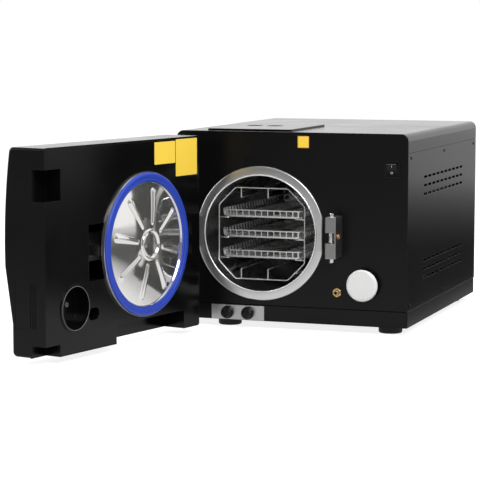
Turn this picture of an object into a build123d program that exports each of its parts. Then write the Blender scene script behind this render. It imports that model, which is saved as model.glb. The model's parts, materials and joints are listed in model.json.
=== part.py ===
"""Bench autoclave with a swing door, wire rack and slotted trays. Millimetres, +Z up.

X runs along the front, Y runs from front to back. The origin is the centre of the four feet at floor level.
The door is built closed and then swung to its open stop.
"""
import os
from math import atan2, cos, degrees, radians, sin, sqrt
from build123d import *

os.makedirs("parts", exist_ok=True)

# Feet and cabinet
foot_inset_left = 105.0
foot_inset_right = 47.0
foot_inset_front = 45.0
foot_inset_rear = 55.0
foot_radius = 25.0
foot_height = 16.0
foot_hole_radius = 3.2
cabinet_width = 510.0
cabinet_depth = 610.0
body_height = 402.0
base_height = 34.0
base_corner = 6.0
hood_radius = 15.0
skirt_height = 40.0
sheet = 1.5
pan_sheet = 2.0
panel_sheet = 2.0
seam = 0.5
rim_depth = 12.0

foot_spacing_x = cabinet_width - foot_inset_left - foot_inset_right
foot_spacing_y = cabinet_depth - foot_inset_front - foot_inset_rear
cabinet_x = (foot_inset_right - foot_inset_left) / 2
front_y = -foot_spacing_y / 2 - foot_inset_front
rear_y = front_y + cabinet_depth
middle_y = (front_y + rear_y) / 2
base_z = foot_height
floor_z = base_z + pan_sheet
seam_z = base_z + base_height
top_z = base_z + body_height
skirt_z = top_z - skirt_height
left_x = cabinet_x - cabinet_width / 2
right_x = cabinet_x + cabinet_width / 2

# Chamber
chamber_offset = -65.0
chamber_z = 203.0
chamber_radius = 122.5
chamber_wall = 2.5
chamber_depth = 480.0
vessel_end_radius = 36.0
flange_radius = 142.5
flange_half_width = 138.0
flange_proud = 5.0
flange_depth = 19.0
fit_gap = 0.1
running_gap = 0.05
frame_plate = 8.0
frame_gap = 1.0
frame_bottom_width = 60.0
heater_start = 150.0
heater_length = 170.0
heater_thickness = 3.0
jacket_thickness = 14.0
jacket_start = 18.0
saddle_from_end = 60.0
saddle_thickness = 10.0

chamber_x = cabinet_x + chamber_offset
vessel_radius = chamber_radius + chamber_wall
flange_y = front_y - flange_proud
frame_y = front_y + panel_sheet + frame_gap
vessel_end_y = front_y + chamber_depth + chamber_wall
saddle_y = front_y + chamber_depth - saddle_from_end

# Door closure: hinge, latch and their blocks
hinge_offset_x = -244.0
hinge_reach = 84.0
hinge_block_width = 22.0
latch_offset_x = 101.5
latch_block_shift = 1.5
latch_web = 2.5
latch_reach = 34.0
latch_block_width = 23.0
latch_block_depth = 46.0
block_height = 87.0
lug_gap = 22.0
pin_radius = 5.0
head_across = 11.5
head_height = 7.5
nut_height = 8.5
arm_thickness = 20.0
arm_eye_radius = 11.0
arm_height = 56.0
hook_pivot_offset_x = 89.5
hook_thickness = 20.0
hook_angle = 16.0
ear_thickness = 10.0
door_open_angle = 102.3

hinge_x = cabinet_x + hinge_offset_x
hinge_y = front_y - hinge_reach
latch_x = cabinet_x + latch_offset_x
latch_y = front_y - latch_reach
latch_block_x = latch_x + latch_block_shift
pivot_x = cabinet_x + hook_pivot_offset_x
pivot_y = hinge_y

# Door
door_left_offset = -260.0
door_width = 521.0
door_bottom = 14.0
door_height = 398.0
door_gap = 14.0
door_top_depth = 84.0
door_belly_depth = 98.0
door_foot_depth = 81.0
belly_height = 171.0
foot_bend_height = 62.0
door_wall = 3.0
door_edge_radius = 10.0
inner_wall = 2.5
moulding_gap = 0.3
notch_depth = 34.0
seal_outer = 144.0
seal_width = 18.0
seal_gap = 0.3
disc_sheet = 1.5
dome_rise = 7.5
dome_gap = 0.3
hub_radius = 28.5
hub_bead_radius = 4.5
rib_count = 8
rib_start_angle = 11.5
rib_inner = 44.0
rib_outer = 106.0
rib_slim_radius = 4.2
rib_wide_radius = 6.2
rib_sink = 1.2
plate_radius = 118.0
plate_thickness = 10.0
spindle_radius = 14.0

door_x0 = cabinet_x + door_left_offset
door_x1 = door_x0 + door_width
door_z0 = door_bottom
door_z1 = door_bottom + door_height
door_face = front_y - door_gap
seal_front = flange_y - seal_gap
disc_back = seal_front - 11.5

# Rack and trays
wire = 3.0
rack_half_width = 95.5
rack_half_height = 97.0
rack_corner = 37.0
rack_drop = 1.5
rack_start = 6.0
rack_length = 430.0
guide_reach = 21.0
tray_count = 3
tray_pitch = 43.0
tray_width = 187.0
tray_length = 400.0
tray_height = 16.0
tray_flare = 2.2
tray_sheet = 1.0
tray_corner = 24.0
tray_first_floor = 150.0
tray_start = 4.0
front_slots = 10
side_slots = 20
corner_slots = 3
floor_slots = 14
front_slot_width = 11.8
side_slot_width = 13.0
corner_slot_width = 9.0
wall_slot_height = 9.0
floor_slot_width = 9.0

# Front fittings
switch_edge = 34.0
switch_z = 345.0
switch_width = 33.0
switch_height = 36.0
rocker_width = 23.0
rocker_height = 28.0
rocker_angle = 8.0
filter_offset_x = 163.0
filter_z = 103.5
filter_radius = 35.0
filter_proud = 22.0
brass_offset_x = 105.0
brass_z = 85.0
brass_across = 17.0
drain_plate_offset_x = -116.25
drain_plate_width = 118.5
knob_spacing = 47.4
knob_radius = 13.5
knob_length = 19.0
stem_radius = 3.5

# Tank and its cover
lid_offset_x = -101.5
lid_width = 187.0
lid_depth = 248.0
lid_setback = 24.0
lid_thickness = 4.0
lid_lap = 14.0
finger_hole_radius = 18.0
finger_hole_spacing = 47.0
finger_holes_offset_x = -12.5
finger_holes_offset_y = 20.0
finger_recess_depth = 12.0
finger_recess_height = 2.2
tank_wall = 2.5
tank_height = 66.0

lid_x = cabinet_x + lid_offset_x
lid_y = front_y + lid_setback + lid_depth / 2


def facing(y):
    """Sketch plane at a given y that faces the front: sketch x is X and sketch y is Z."""
    return Plane.XZ.offset(-y)


def side_on(x):
    """Sketch plane at a given x that faces +X: sketch x is Y and sketch y is Z."""
    return Plane.YZ.offset(x)


def level(z):
    """Sketch plane at a given height."""
    return Plane.XY.offset(z)


def hood_section(sketch, inset, bottom):
    """Section of the cabinet: a rectangle with its two top corners rounded."""
    with Locations((cabinet_x, (bottom + top_z - inset) / 2)):
        Rectangle(cabinet_width - 2 * inset, top_z - inset - bottom)
    fillet(sketch.vertices().group_by(Axis.Y)[-1], hood_radius - inset)


def flange_outline(gap):
    """Outline of the chamber's flange, grown by a gap: a circle with a flat at each side."""
    with BuildSketch() as outline:
        Circle(flange_radius + gap)
        Rectangle(2 * (flange_half_width + gap), 2 * (flange_radius + gap), mode=Mode.INTERSECT)
    return outline.sketch


def write(builder, name):
    """Label one finished piece and write it."""
    builder.part.label = name
    export_step(builder.part, f"parts/{name}.step")


# Base pan: an open tray that everything stands on
valve_xs = [
    cabinet_x + drain_plate_offset_x - knob_spacing / 2 + 1.0,
    cabinet_x + drain_plate_offset_x + knob_spacing / 2 - 0.5,
]
valve_z = base_z + base_height / 2 - 1.0

with BuildPart() as base_pan:
    with BuildSketch(level(base_z)):
        with Locations((cabinet_x, middle_y)):
            RectangleRounded(cabinet_width, cabinet_depth, base_corner)
    extrude(amount=base_height)
    offset(amount=-pan_sheet, openings=base_pan.faces().sort_by(Axis.Z)[-1])
    with BuildSketch(level(base_z)):
        with GridLocations(foot_spacing_x, foot_spacing_y, 2, 2):
            Circle(foot_hole_radius)
        with Locations((right_x - 120, middle_y)):
            with GridLocations(40, 60, 3, 4):
                Rectangle(30, 5)
    extrude(amount=pan_sheet, mode=Mode.SUBTRACT)
    with BuildSketch(facing(front_y + pan_sheet)):
        with Locations(*[(x, valve_z) for x in valve_xs]):
            Circle(stem_radius + 1.0)
    extrude(amount=pan_sheet, mode=Mode.SUBTRACT)

# Feet: four round rubber feet, each with a through hole for a bench bolt
with BuildPart() as feet:
    with BuildSketch(level(0)):
        with GridLocations(foot_spacing_x, foot_spacing_y, 2, 2):
            Circle(foot_radius)
            Circle(foot_hole_radius, mode=Mode.SUBTRACT)
    extrude(amount=foot_height)
    chamfer(feet.edges().filter_by(GeomType.CIRCLE).group_by(Axis.Z)[0].sort_by(SortBy.RADIUS)[-4:], 2.0)

# Front panel: a sheet with a return rim, pierced for the chamber and the fittings
switch_x = right_x - switch_edge
filter_x = cabinet_x + filter_offset_x
brass_x = cabinet_x + brass_offset_x
port_radius = 12.0
brass_thread_radius = 6.5
switch_cut_width = switch_width - 5
switch_cut_height = switch_height - 5
panel_hole = flange_outline(0.5)

with BuildPart() as front_panel:
    with BuildSketch(facing(front_y + panel_sheet)) as panel_face:
        hood_section(panel_face, 0, seam_z)
    extrude(amount=panel_sheet)
    fillet(front_panel.faces().sort_by(Axis.Y)[0].edges(), 0.8)
    with BuildSketch(facing(front_y + rim_depth)) as rim_outside:
        hood_section(rim_outside, sheet + seam, seam_z)
    extrude(amount=rim_depth - panel_sheet)
    with BuildSketch(facing(front_y + rim_depth)) as rim_inside:
        hood_section(rim_inside, 2 * sheet + seam, seam_z)
    extrude(amount=rim_depth - panel_sheet, mode=Mode.SUBTRACT)
    with BuildSketch(facing(front_y + rim_depth)):
        with Locations((chamber_x, chamber_z)):
            add(panel_hole)
        with Locations((switch_x, switch_z)):
            Rectangle(switch_cut_width, switch_cut_height)
        with Locations((filter_x, filter_z)):
            Circle(port_radius)
        with Locations((brass_x, brass_z)):
            Circle(brass_thread_radius)
    extrude(amount=rim_depth, mode=Mode.SUBTRACT)

# Top cover: a folded hood with an opening over the tank
cover_y = front_y + panel_sheet + seam
cover_length = rear_y - cover_y

with BuildPart() as top_cover:
    with BuildSketch(facing(rear_y)) as hood_outside:
        hood_section(hood_outside, 0, skirt_z)
    extrude(amount=cover_length)
    with BuildSketch(facing(rear_y)) as hood_inside:
        hood_section(hood_inside, sheet, skirt_z)
    extrude(amount=cover_length, mode=Mode.SUBTRACT)
    with BuildSketch(level(top_z - sheet)):
        with Locations((lid_x, lid_y)):
            RectangleRounded(lid_width - 2 * lid_lap, lid_depth - 2 * lid_lap, 6)
    extrude(amount=sheet, mode=Mode.SUBTRACT)

# Side panels: flat sheets with two groups of vent slots
vent_start = 133.0
vent_pitch = 35.5
vent_length = 22.0
vent_width = 5.0
vent_columns = 10
vent_rows = 3
vent_row_pitch = 18.2
vent_upper_z = 303.0
vent_lower_z = 125.3
vent_middle_y = front_y + vent_start + (vent_length + (vent_columns - 1) * vent_pitch) / 2


def side_sheet(x):
    """Flat side sheet between the base pan and the hood's skirt, with its vents."""
    with BuildPart() as panel:
        with BuildSketch(side_on(x)):
            with Locations(((cover_y + rear_y) / 2, (seam_z + skirt_z) / 2)):
                Rectangle(cover_length, skirt_z - seam_z - 2 * seam)
            with Locations((vent_middle_y, vent_upper_z), (vent_middle_y, vent_lower_z)):
                with GridLocations(vent_pitch, vent_row_pitch, vent_columns, vent_rows):
                    SlotOverall(vent_length, vent_width, mode=Mode.SUBTRACT)
        extrude(amount=sheet)
    return panel


side_panel_left = side_sheet(left_x)
side_panel_right = side_sheet(right_x - sheet)

# Rear panel: a sheet set inside the hood, with the fan grille, the mains inlet and the valve hole
fan_size = 92.0
fan_depth = 25.0
fan_offset_x = 150.0
fan_z = 290.0
fan_rotor_radius = 42.0
inlet_offset_x = 190.0
inlet_z = 90.0
inlet_width = 28.0
inlet_height = 48.0
valve_hole_radius = 9.0
safety_offset_x = -190.0
safety_z = 330.0
fan_x = cabinet_x + fan_offset_x
inlet_x = cabinet_x + inlet_offset_x
safety_x = cabinet_x + safety_offset_x
rear_inset = 3.0
rear_face = rear_y - rear_inset

with BuildPart() as rear_panel:
    with BuildSketch(facing(rear_face)) as rear_outline:
        hood_section(rear_outline, sheet + seam, seam_z + seam)
        with Locations((inlet_x, inlet_z)):
            Rectangle(inlet_width, inlet_height, mode=Mode.SUBTRACT)
        with Locations((safety_x, safety_z)):
            Circle(valve_hole_radius, mode=Mode.SUBTRACT)
        with Locations((fan_x, fan_z)):
            with GridLocations(0, 9.0, 1, 9):
                Rectangle(74, 5, mode=Mode.SUBTRACT)
    extrude(amount=sheet)

# Front frame: the thick plate behind the front panel that carries chamber, hinge block and latch block
frame_x0 = left_x + 4.0
frame_x1 = latch_x + 30.0
frame_top = chamber_z + 145.0
frame_hole = flange_outline(fit_gap)

with BuildPart() as front_frame:
    with BuildSketch(facing(frame_y + frame_plate)):
        with Locations(((frame_x0 + frame_x1) / 2, (floor_z + frame_top) / 2)):
            RectangleRounded(frame_x1 - frame_x0, frame_top - floor_z, 8)
        with Locations((cabinet_x + drain_plate_offset_x, floor_z)):
            Rectangle(drain_plate_width, 2 * (seam_z - floor_z + 8), mode=Mode.SUBTRACT)
        with Locations((chamber_x, chamber_z)):
            add(frame_hole, mode=Mode.SUBTRACT)
        with Locations((brass_x, brass_z)):
            Circle(brass_thread_radius + 0.5, mode=Mode.SUBTRACT)
        with Locations((chamber_x, floor_z + 20)):
            Rectangle(frame_x1 - frame_x0 - 2 * frame_bottom_width, 30, mode=Mode.SUBTRACT)
    extrude(amount=frame_plate)

# Chamber vessel: a drawn pot with a rounded closed end; and its flange ring
with BuildPart() as chamber_vessel:
    with BuildSketch(facing(vessel_end_y)):
        with Locations((chamber_x, chamber_z)):
            Circle(vessel_radius)
    extrude(amount=vessel_end_y - flange_y + 1.0)
    fillet(chamber_vessel.edges().group_by(Axis.Y)[-1], vessel_end_radius)
    offset(amount=-chamber_wall, openings=chamber_vessel.faces().sort_by(Axis.Y)[0])


def ring_on_chamber(inner, outer, start, length):
    """Plain ring round the chamber's axis, from a start behind the front panel."""
    with BuildPart() as ring:
        with BuildSketch(facing(front_y + start + length)):
            with Locations((chamber_x, chamber_z)):
                Circle(outer)
                Circle(inner, mode=Mode.SUBTRACT)
        extrude(amount=length)
    return ring


flange_face = flange_outline(0)
flange_centre = Vector(chamber_x, flange_y, chamber_z)
with BuildPart() as chamber_flange:
    with BuildSketch(facing(flange_y + flange_depth)):
        with Locations((chamber_x, chamber_z)):
            add(flange_face)
            Circle(vessel_radius + fit_gap, mode=Mode.SUBTRACT)
    extrude(amount=flange_depth)
    front_edges = chamber_flange.edges().group_by(Axis.Y)[0]
    chamfer(front_edges.filter_by(lambda e: (e @ 0.5 - flange_centre).length > vessel_radius + 2), 2.0)

heater_radius = vessel_radius + fit_gap + heater_thickness
heater_band = ring_on_chamber(vessel_radius + fit_gap, heater_radius, heater_start, heater_length)
jacket_radius = heater_radius + fit_gap + jacket_thickness
with BuildPart() as insulation_jacket:
    jacket_length = chamber_depth - jacket_start - 5
    with BuildSketch(facing(front_y + jacket_start + jacket_length)):
        with Locations((chamber_x, chamber_z)):
            Circle(jacket_radius)
            Circle(heater_radius + fit_gap, mode=Mode.SUBTRACT)
    extrude(amount=jacket_length)

# Rear saddle: an upright plate with a round seat for the jacket
with BuildPart() as rear_saddle:
    with BuildSketch(facing(saddle_y + saddle_thickness)):
        with Locations((chamber_x, (floor_z + chamber_z) / 2)):
            Rectangle(2 * jacket_radius - 40, chamber_z - floor_z - 20)
        with Locations((chamber_x, chamber_z)):
            Circle(jacket_radius + 0.3, mode=Mode.SUBTRACT)
    extrude(amount=saddle_thickness)

# Rack rails: two bars along the lower diagonals of the chamber, under the rack's lower stringers
rack_z = chamber_z - rack_drop
stringer_x = rack_half_width - rack_corner / 2 + 0.6 * wire
stringer_z = rack_half_height - rack_corner / 2 + 0.6 * wire
rail_width = 6.0
rail_inner = sqrt(stringer_x**2 + (stringer_z + rack_drop) ** 2) + wire / 2 + 0.3
rail_outer = chamber_radius - 0.4
rail_start = 60.0
rail_length = 380.0

with BuildPart() as rack_rails:
    with BuildSketch(facing(front_y + rail_start + rail_length)):
        with Locations((chamber_x, chamber_z)):
            with PolarLocations((rail_inner + rail_outer) / 2, 2, start_angle=-135, angular_range=180):
                Rectangle(rail_outer - rail_inner, rail_width)
    extrude(amount=rail_length)

# Water tank: an open box hung below the cover, with a wall that parts clean from used water
with BuildPart() as water_tank:
    tank_top = top_z - sheet
    with BuildSketch(level(tank_top - tank_height)):
        with Locations((lid_x, lid_y)):
            RectangleRounded(lid_width, lid_depth, 12)
    extrude(amount=tank_height)
    offset(amount=-tank_wall, openings=water_tank.faces().sort_by(Axis.Z)[-1])
    with BuildSketch(level(tank_top - tank_height + tank_wall)):
        with Locations((lid_x, lid_y)):
            Rectangle(tank_wall, lid_depth - 2 * tank_wall)
    extrude(amount=tank_height - 30)

# Tank cover: a lift-off plate with a locating lip, two finger holes and a finger recess under its front edge
lip_height = 5.0
with BuildPart() as tank_lid:
    with BuildSketch(level(top_z)):
        with Locations((lid_x, lid_y)):
            RectangleRounded(lid_width, lid_depth, 8)
    extrude(amount=lid_thickness)
    fillet(tank_lid.faces().sort_by(Axis.Z)[-1].edges(), 1.2)
    with BuildSketch(level(top_z - lip_height)):
        with Locations((lid_x, lid_y)):
            RectangleRounded(lid_width - 2 * lid_lap - 1, lid_depth - 2 * lid_lap - 1, 5.5)
            RectangleRounded(
                lid_width - 2 * lid_lap - 5, lid_depth - 2 * lid_lap - 5, 3.5, mode=Mode.SUBTRACT
            )
    extrude(amount=lip_height)
    with BuildSketch(level(top_z)):
        with Locations((lid_x + finger_holes_offset_x, lid_y + finger_holes_offset_y)):
            with GridLocations(finger_hole_spacing, 0, 2, 1):
                Circle(finger_hole_radius)
    extrude(amount=lid_thickness, mode=Mode.SUBTRACT)
    with BuildSketch(level(top_z)):
        with Locations((lid_x + lid_width / 4, lid_y - lid_depth / 2)):
            Rectangle(lid_width / 2 + 1, 2 * finger_recess_depth)
    extrude(amount=finger_recess_height, mode=Mode.SUBTRACT)

# Blocks on the front: each has two lugs with a gap between them
with BuildPart() as latch_block:
    with BuildSketch(facing(front_y)):
        with Locations((latch_block_x, chamber_z)):
            RectangleRounded(latch_block_width, block_height, 2)
    extrude(amount=latch_block_depth)
    fillet(latch_block.faces().sort_by(Axis.Y)[0].edges(), 1.5)
    with BuildSketch(level(chamber_z - lug_gap / 2)):
        with Locations((latch_block_x - latch_web, front_y - 14.0)):
            Rectangle(latch_block_width, latch_block_depth, align=(Align.CENTER, Align.MAX))
    extrude(amount=lug_gap, mode=Mode.SUBTRACT)
    with BuildSketch(level(chamber_z - block_height / 2)):
        with Locations((latch_x, latch_y)):
            Circle(pin_radius + running_gap)
    extrude(amount=block_height, mode=Mode.SUBTRACT)

hinge_web = 58.0
with BuildPart() as hinge_block:
    with BuildSketch(level(chamber_z - block_height / 2)):
        with Locations((hinge_x, front_y)):
            Rectangle(hinge_block_width, hinge_reach, align=(Align.CENTER, Align.MAX))
        with Locations((hinge_x, hinge_y)):
            Circle(hinge_block_width / 2)
            Circle(pin_radius + running_gap, mode=Mode.SUBTRACT)
    extrude(amount=block_height)
    with BuildSketch(level(chamber_z - lug_gap / 2)):
        with Locations((hinge_x, front_y - hinge_web)):
            Rectangle(hinge_block_width, hinge_reach, align=(Align.CENTER, Align.MAX))
    extrude(amount=lug_gap, mode=Mode.SUBTRACT)


def headed_pin(x, y):
    """Pin through both lugs of a block, with a bored bolt head above and a nut below."""
    z0 = chamber_z - block_height / 2
    z1 = chamber_z + block_height / 2
    with BuildPart() as pin:
        with BuildSketch(level(z0)):
            with Locations((x, y)):
                Circle(pin_radius)
        extrude(amount=block_height)
        with BuildSketch(level(z1)):
            with Locations((x, y)):
                RegularPolygon(head_across / 2, 6, major_radius=False)
                Circle(2.0, mode=Mode.SUBTRACT)
        extrude(amount=head_height)
        with BuildSketch(level(z0 - nut_height)):
            with Locations((x, y)):
                RegularPolygon(head_across / 2, 6, major_radius=False)
        extrude(amount=nut_height)
    return pin


latch_pin = headed_pin(latch_x, latch_y)
hinge_pin = headed_pin(hinge_x, hinge_y)

# Brass screw in the side of the latch block
screw_y = front_y - 26.0
with BuildPart() as strike_screw:
    with BuildSketch(side_on(latch_block_x + latch_block_width / 2)):
        with Locations((screw_y, chamber_z + 2)):
            Circle(6.0)
            RegularPolygon(2.8, 6, mode=Mode.SUBTRACT)
    extrude(amount=2.5)

# Power switch: housing with its frame, and the rocker on its pivot
rocker_y = front_y - 1.0
with BuildPart() as switch_housing:
    with BuildSketch(facing(front_y)):
        with Locations((switch_x, switch_z)):
            RectangleRounded(switch_width, switch_height, 2)
    extrude(amount=2.0)
    with BuildSketch(facing(front_y + 26)):
        with Locations((switch_x, switch_z)):
            Rectangle(switch_cut_width - 0.6, switch_cut_height - 0.6)
    extrude(amount=26)
    with BuildSketch(facing(front_y + 8)):
        with Locations((switch_x, switch_z)):
            Rectangle(rocker_width, rocker_height)
    extrude(amount=12, mode=Mode.SUBTRACT)

rocker_tilt = radians(rocker_angle)
rocker_plane = Plane(
    origin=(switch_x, rocker_y, switch_z),
    x_dir=(0, cos(rocker_tilt), sin(rocker_tilt)),
    z_dir=(1, 0, 0),
)
with BuildPart() as rocker:
    with BuildSketch(rocker_plane):
        with BuildLine():
            Line((5.0, -8.0), (5.0, 8.0))
            Line((5.0, 8.0), (-1.0, 12.8))
            Line((-1.0, 12.8), (-3.6, 12.8))
            ThreePointArc((-3.6, 12.8), (-1.6, 0), (-3.6, -12.8))
            Line((-3.6, -12.8), (-1.0, -12.8))
            Line((-1.0, -12.8), (5.0, -8.0))
        make_face()
    extrude(amount=rocker_width / 2 - 0.4, both=True)

# Air filter: a white domed cap, with its port behind the panel
with BuildPart() as air_filter:
    with BuildSketch(facing(front_y)):
        with Locations((filter_x, filter_z)):
            Circle(filter_radius)
    extrude(amount=filter_proud)
    chamfer(air_filter.edges().group_by(Axis.Y)[0], 9, 5)
    fillet(air_filter.edges().group_by(Axis.Y)[0], 2.0)

with BuildPart() as filter_port:
    with BuildSketch(facing(front_y + 40)):
        with Locations((filter_x, filter_z)):
            Circle(port_radius - 0.2)
            Circle(port_radius - 4, mode=Mode.SUBTRACT)
    extrude(amount=40)
    with BuildSketch(facing(front_y + panel_sheet + 6)):
        with Locations((filter_x, filter_z)):
            Circle(port_radius + 6)
            Circle(port_radius - 4, mode=Mode.SUBTRACT)
    extrude(amount=6)

# Brass drain fitting: a hexagon with a bore and a threaded tail
with BuildPart() as drain_fitting:
    with BuildSketch(facing(front_y)):
        with Locations((brass_x, brass_z)):
            RegularPolygon(brass_across / 2, 6, major_radius=False)
    extrude(amount=6)
    with BuildSketch(facing(front_y - 6)):
        with Locations((brass_x, brass_z)):
            Circle(5.5)
    extrude(amount=8)
    chamfer(drain_fitting.edges().group_by(Axis.Y)[0], 0.8)
    with BuildSketch(facing(front_y + 20)):
        with Locations((brass_x, brass_z)):
            Circle(brass_thread_radius - 0.2)
    extrude(amount=20)
    with BuildSketch(facing(front_y + 20)):
        with Locations((brass_x, brass_z)):
            Circle(3.2)
    extrude(amount=34, mode=Mode.SUBTRACT)

# Drain plate, drain valves and their knobs
with BuildPart() as drain_plate:
    with BuildSketch(facing(front_y)):
        with Locations((cabinet_x + drain_plate_offset_x, base_z + base_height / 2 - 0.8)):
            Rectangle(drain_plate_width, base_height - 3)
        with Locations(*[(x, valve_z) for x in valve_xs]):
            Circle(stem_radius + 1.0, mode=Mode.SUBTRACT)
    extrude(amount=1.0)

with BuildPart() as drain_valves:
    with BuildSketch(facing(front_y + pan_sheet + 22)):
        with Locations(*[(x, valve_z) for x in valve_xs]):
            RegularPolygon(9, 6, major_radius=False)
    extrude(amount=22)
    with BuildSketch(facing(front_y + pan_sheet)):
        with Locations(*[(x, valve_z) for x in valve_xs]):
            Circle(stem_radius)
    extrude(amount=pan_sheet + 1.2)


def drain_knob(x):
    """Stepped knob with a pointer bar across its face."""
    with BuildPart() as knob:
        with BuildSketch(facing(front_y - 1.5)):
            with Locations((x, valve_z)):
                Circle(knob_radius)
        extrude(amount=7.0)
        with BuildSketch(facing(front_y - 8.5)):
            with Locations((x, valve_z)):
                Circle(knob_radius - 1.5)
        extrude(amount=knob_length - 8.5, taper=9)
        with BuildSketch(facing(front_y - knob_length + 0.5)):
            with Locations((x, valve_z)):
                SlotOverall(18, 4.0, rotation=90)
        extrude(amount=2.5)
    return knob


drain_knob_left = drain_knob(valve_xs[0])
drain_knob_right = drain_knob(valve_xs[1])

# Inside the cabinet: pump, valves, boards, fan, inlet and safety valve
pump_x = right_x - 95.0
pump_y = middle_y + 10.0
pump_motor_length = 85.0
pump_head_length = 46.0
pump_axis_z = floor_z + 44.0
with BuildPart() as vacuum_pump:
    with BuildSketch(level(floor_z)):
        with Locations((pump_x, pump_y + 15)):
            RectangleRounded(90, 150, 4)
    extrude(amount=6)
    with BuildSketch(facing(pump_y + pump_motor_length)):
        with Locations((pump_x, pump_axis_z)):
            Circle(36)
    extrude(amount=pump_motor_length)
    with BuildSketch(facing(pump_y)):
        with Locations((pump_x, pump_axis_z)):
            RectangleRounded(76, 76, 6)
    extrude(amount=pump_head_length)
    with BuildSketch(level(pump_axis_z + 38)):
        with Locations((pump_x, pump_y - pump_head_length / 2)):
            with GridLocations(36, 0, 2, 1):
                Circle(13)
    extrude(amount=16)

with BuildPart() as solenoid_valves:
    with BuildSketch(level(floor_z)):
        with Locations((pump_x, front_y + 150)):
            with GridLocations(0, 56, 1, 2):
                RectangleRounded(44, 34, 3)
    extrude(amount=30)
    with BuildSketch(level(floor_z + 30)):
        with Locations((pump_x, front_y + 150)):
            with GridLocations(0, 56, 1, 2):
                RectangleRounded(30, 30, 4)
    extrude(amount=38)

board_standoff = 8.0
board_thickness = 1.6
board_length = 180.0
board_height = 90.0
board_x = right_x - sheet - board_standoff
board_y = middle_y - 5.0
board_z = 238.0
with BuildPart() as control_board:
    with BuildSketch(side_on(board_x - board_thickness)):
        with Locations((board_y, board_z)):
            RectangleRounded(board_length, board_height, 3)
    extrude(amount=board_thickness)
    with BuildSketch(side_on(board_x - board_thickness)):
        with Locations((board_y, board_z)):
            with Locations((-30, 6), (20, -12), (55, 12)):
                Rectangle(24, 20)
    extrude(amount=-14)
    with BuildSketch(side_on(board_x)):
        with Locations((board_y, board_z)):
            with GridLocations(board_length - 14, board_height - 14, 2, 2):
                Circle(4)
    extrude(amount=board_standoff)

with BuildPart() as power_supply:
    with BuildSketch(level(floor_z)):
        with Locations((pump_x + 10, rear_y - 120)):
            RectangleRounded(90, 110, 2)
    extrude(amount=42)

fan_front = rear_face - sheet
with BuildPart() as fan_frame:
    with BuildSketch(facing(fan_front)):
        with Locations((fan_x, fan_z)):
            RectangleRounded(fan_size, fan_size, 5)
            Circle(fan_rotor_radius + 1.5, mode=Mode.SUBTRACT)
            Circle(17)
            with PolarLocations(30, 4, 45):
                Rectangle(32, 5)
    extrude(amount=3)
    with BuildSketch(facing(fan_front - 3)):
        with Locations((fan_x, fan_z)):
            RectangleRounded(fan_size, fan_size, 5)
            Circle(fan_rotor_radius + 1.5, mode=Mode.SUBTRACT)
    extrude(amount=fan_depth - 3)
    with BuildSketch(facing(fan_front - 3)):
        with Locations((fan_x, fan_z)):
            Circle(2.0)
    extrude(amount=14)

blade_count = 7
with BuildPart() as fan_rotor:
    with BuildSketch(facing(fan_front - 4)):
        with Locations((fan_x, fan_z)):
            Circle(17)
            Circle(2.0 + running_gap, mode=Mode.SUBTRACT)
    extrude(amount=17)
    for number in range(blade_count):
        turn = radians(360 / blade_count * number)
        outward = Vector(cos(turn), 0, sin(turn))
        blade_plane = Plane(
            origin=Vector(fan_x, fan_front - 12.5, fan_z) + outward * 16,
            x_dir=Vector(-sin(turn) * 0.86, 0.5, cos(turn) * 0.86),
            z_dir=outward,
        )
        with BuildSketch(blade_plane):
            Rectangle(20, 1.6)
        extrude(amount=fan_rotor_radius - 16.5)

with BuildPart() as power_inlet:
    with BuildSketch(facing(rear_face + 2)):
        with Locations((inlet_x, inlet_z)):
            RectangleRounded(inlet_width + 8, inlet_height + 10, 3)
    extrude(amount=2)
    with BuildSketch(facing(rear_face)):
        with Locations((inlet_x, inlet_z)):
            Rectangle(inlet_width - 0.4, inlet_height - 0.4)
    extrude(amount=30)
    with BuildSketch(facing(rear_face + 2)):
        with Locations((inlet_x, inlet_z + 8)):
            RectangleRounded(inlet_width - 4, 18, 3)
    extrude(amount=18, mode=Mode.SUBTRACT)
    with BuildSketch(facing(rear_face - 4)):
        with Locations((inlet_x - 7, inlet_z + 6), (inlet_x + 7, inlet_z + 6), (inlet_x, inlet_z + 11)):
            Rectangle(2, 4)
    extrude(amount=13)

with BuildPart() as safety_valve:
    with BuildSketch(facing(rear_face - 30)):
        with Locations((safety_x, safety_z)):
            Circle(valve_hole_radius - 0.3)
    extrude(amount=-(30 + rear_inset - 0.5))
    with BuildSketch(facing(rear_face - sheet - 8)):
        with Locations((safety_x, safety_z)):
            RegularPolygon(12, 6, major_radius=False)
    extrude(amount=-8)

# Rack: two octagonal wire loops, joined by corner stringers and by guides for the trays on all four sides
rack_y0 = front_y + rack_start
rack_y1 = rack_y0 + rack_length
side_guides = [tray_first_floor - wire / 2 + n * tray_pitch for n in range(tray_count)]
cross_guides = [-45.5, 14.5]


def octagon_points():
    """Corners of the rack's loop, as X and Z round the chamber's axis."""
    a, c = rack_half_width, rack_half_height
    b, d = a - rack_corner, c - rack_corner
    corners = [(a, -d), (a, d), (b, c), (-b, c), (-a, d), (-a, -d), (-b, -c), (b, -c)]
    return [(chamber_x + x, rack_z + z) for x, z in corners]


def add_wire(start, end):
    """One straight round wire between two points."""
    path = Vector(*end) - Vector(*start)
    with BuildSketch(Plane(origin=start, z_dir=path)) as section:
        Circle(wire / 2)
    return section.sketch, path.length


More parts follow.
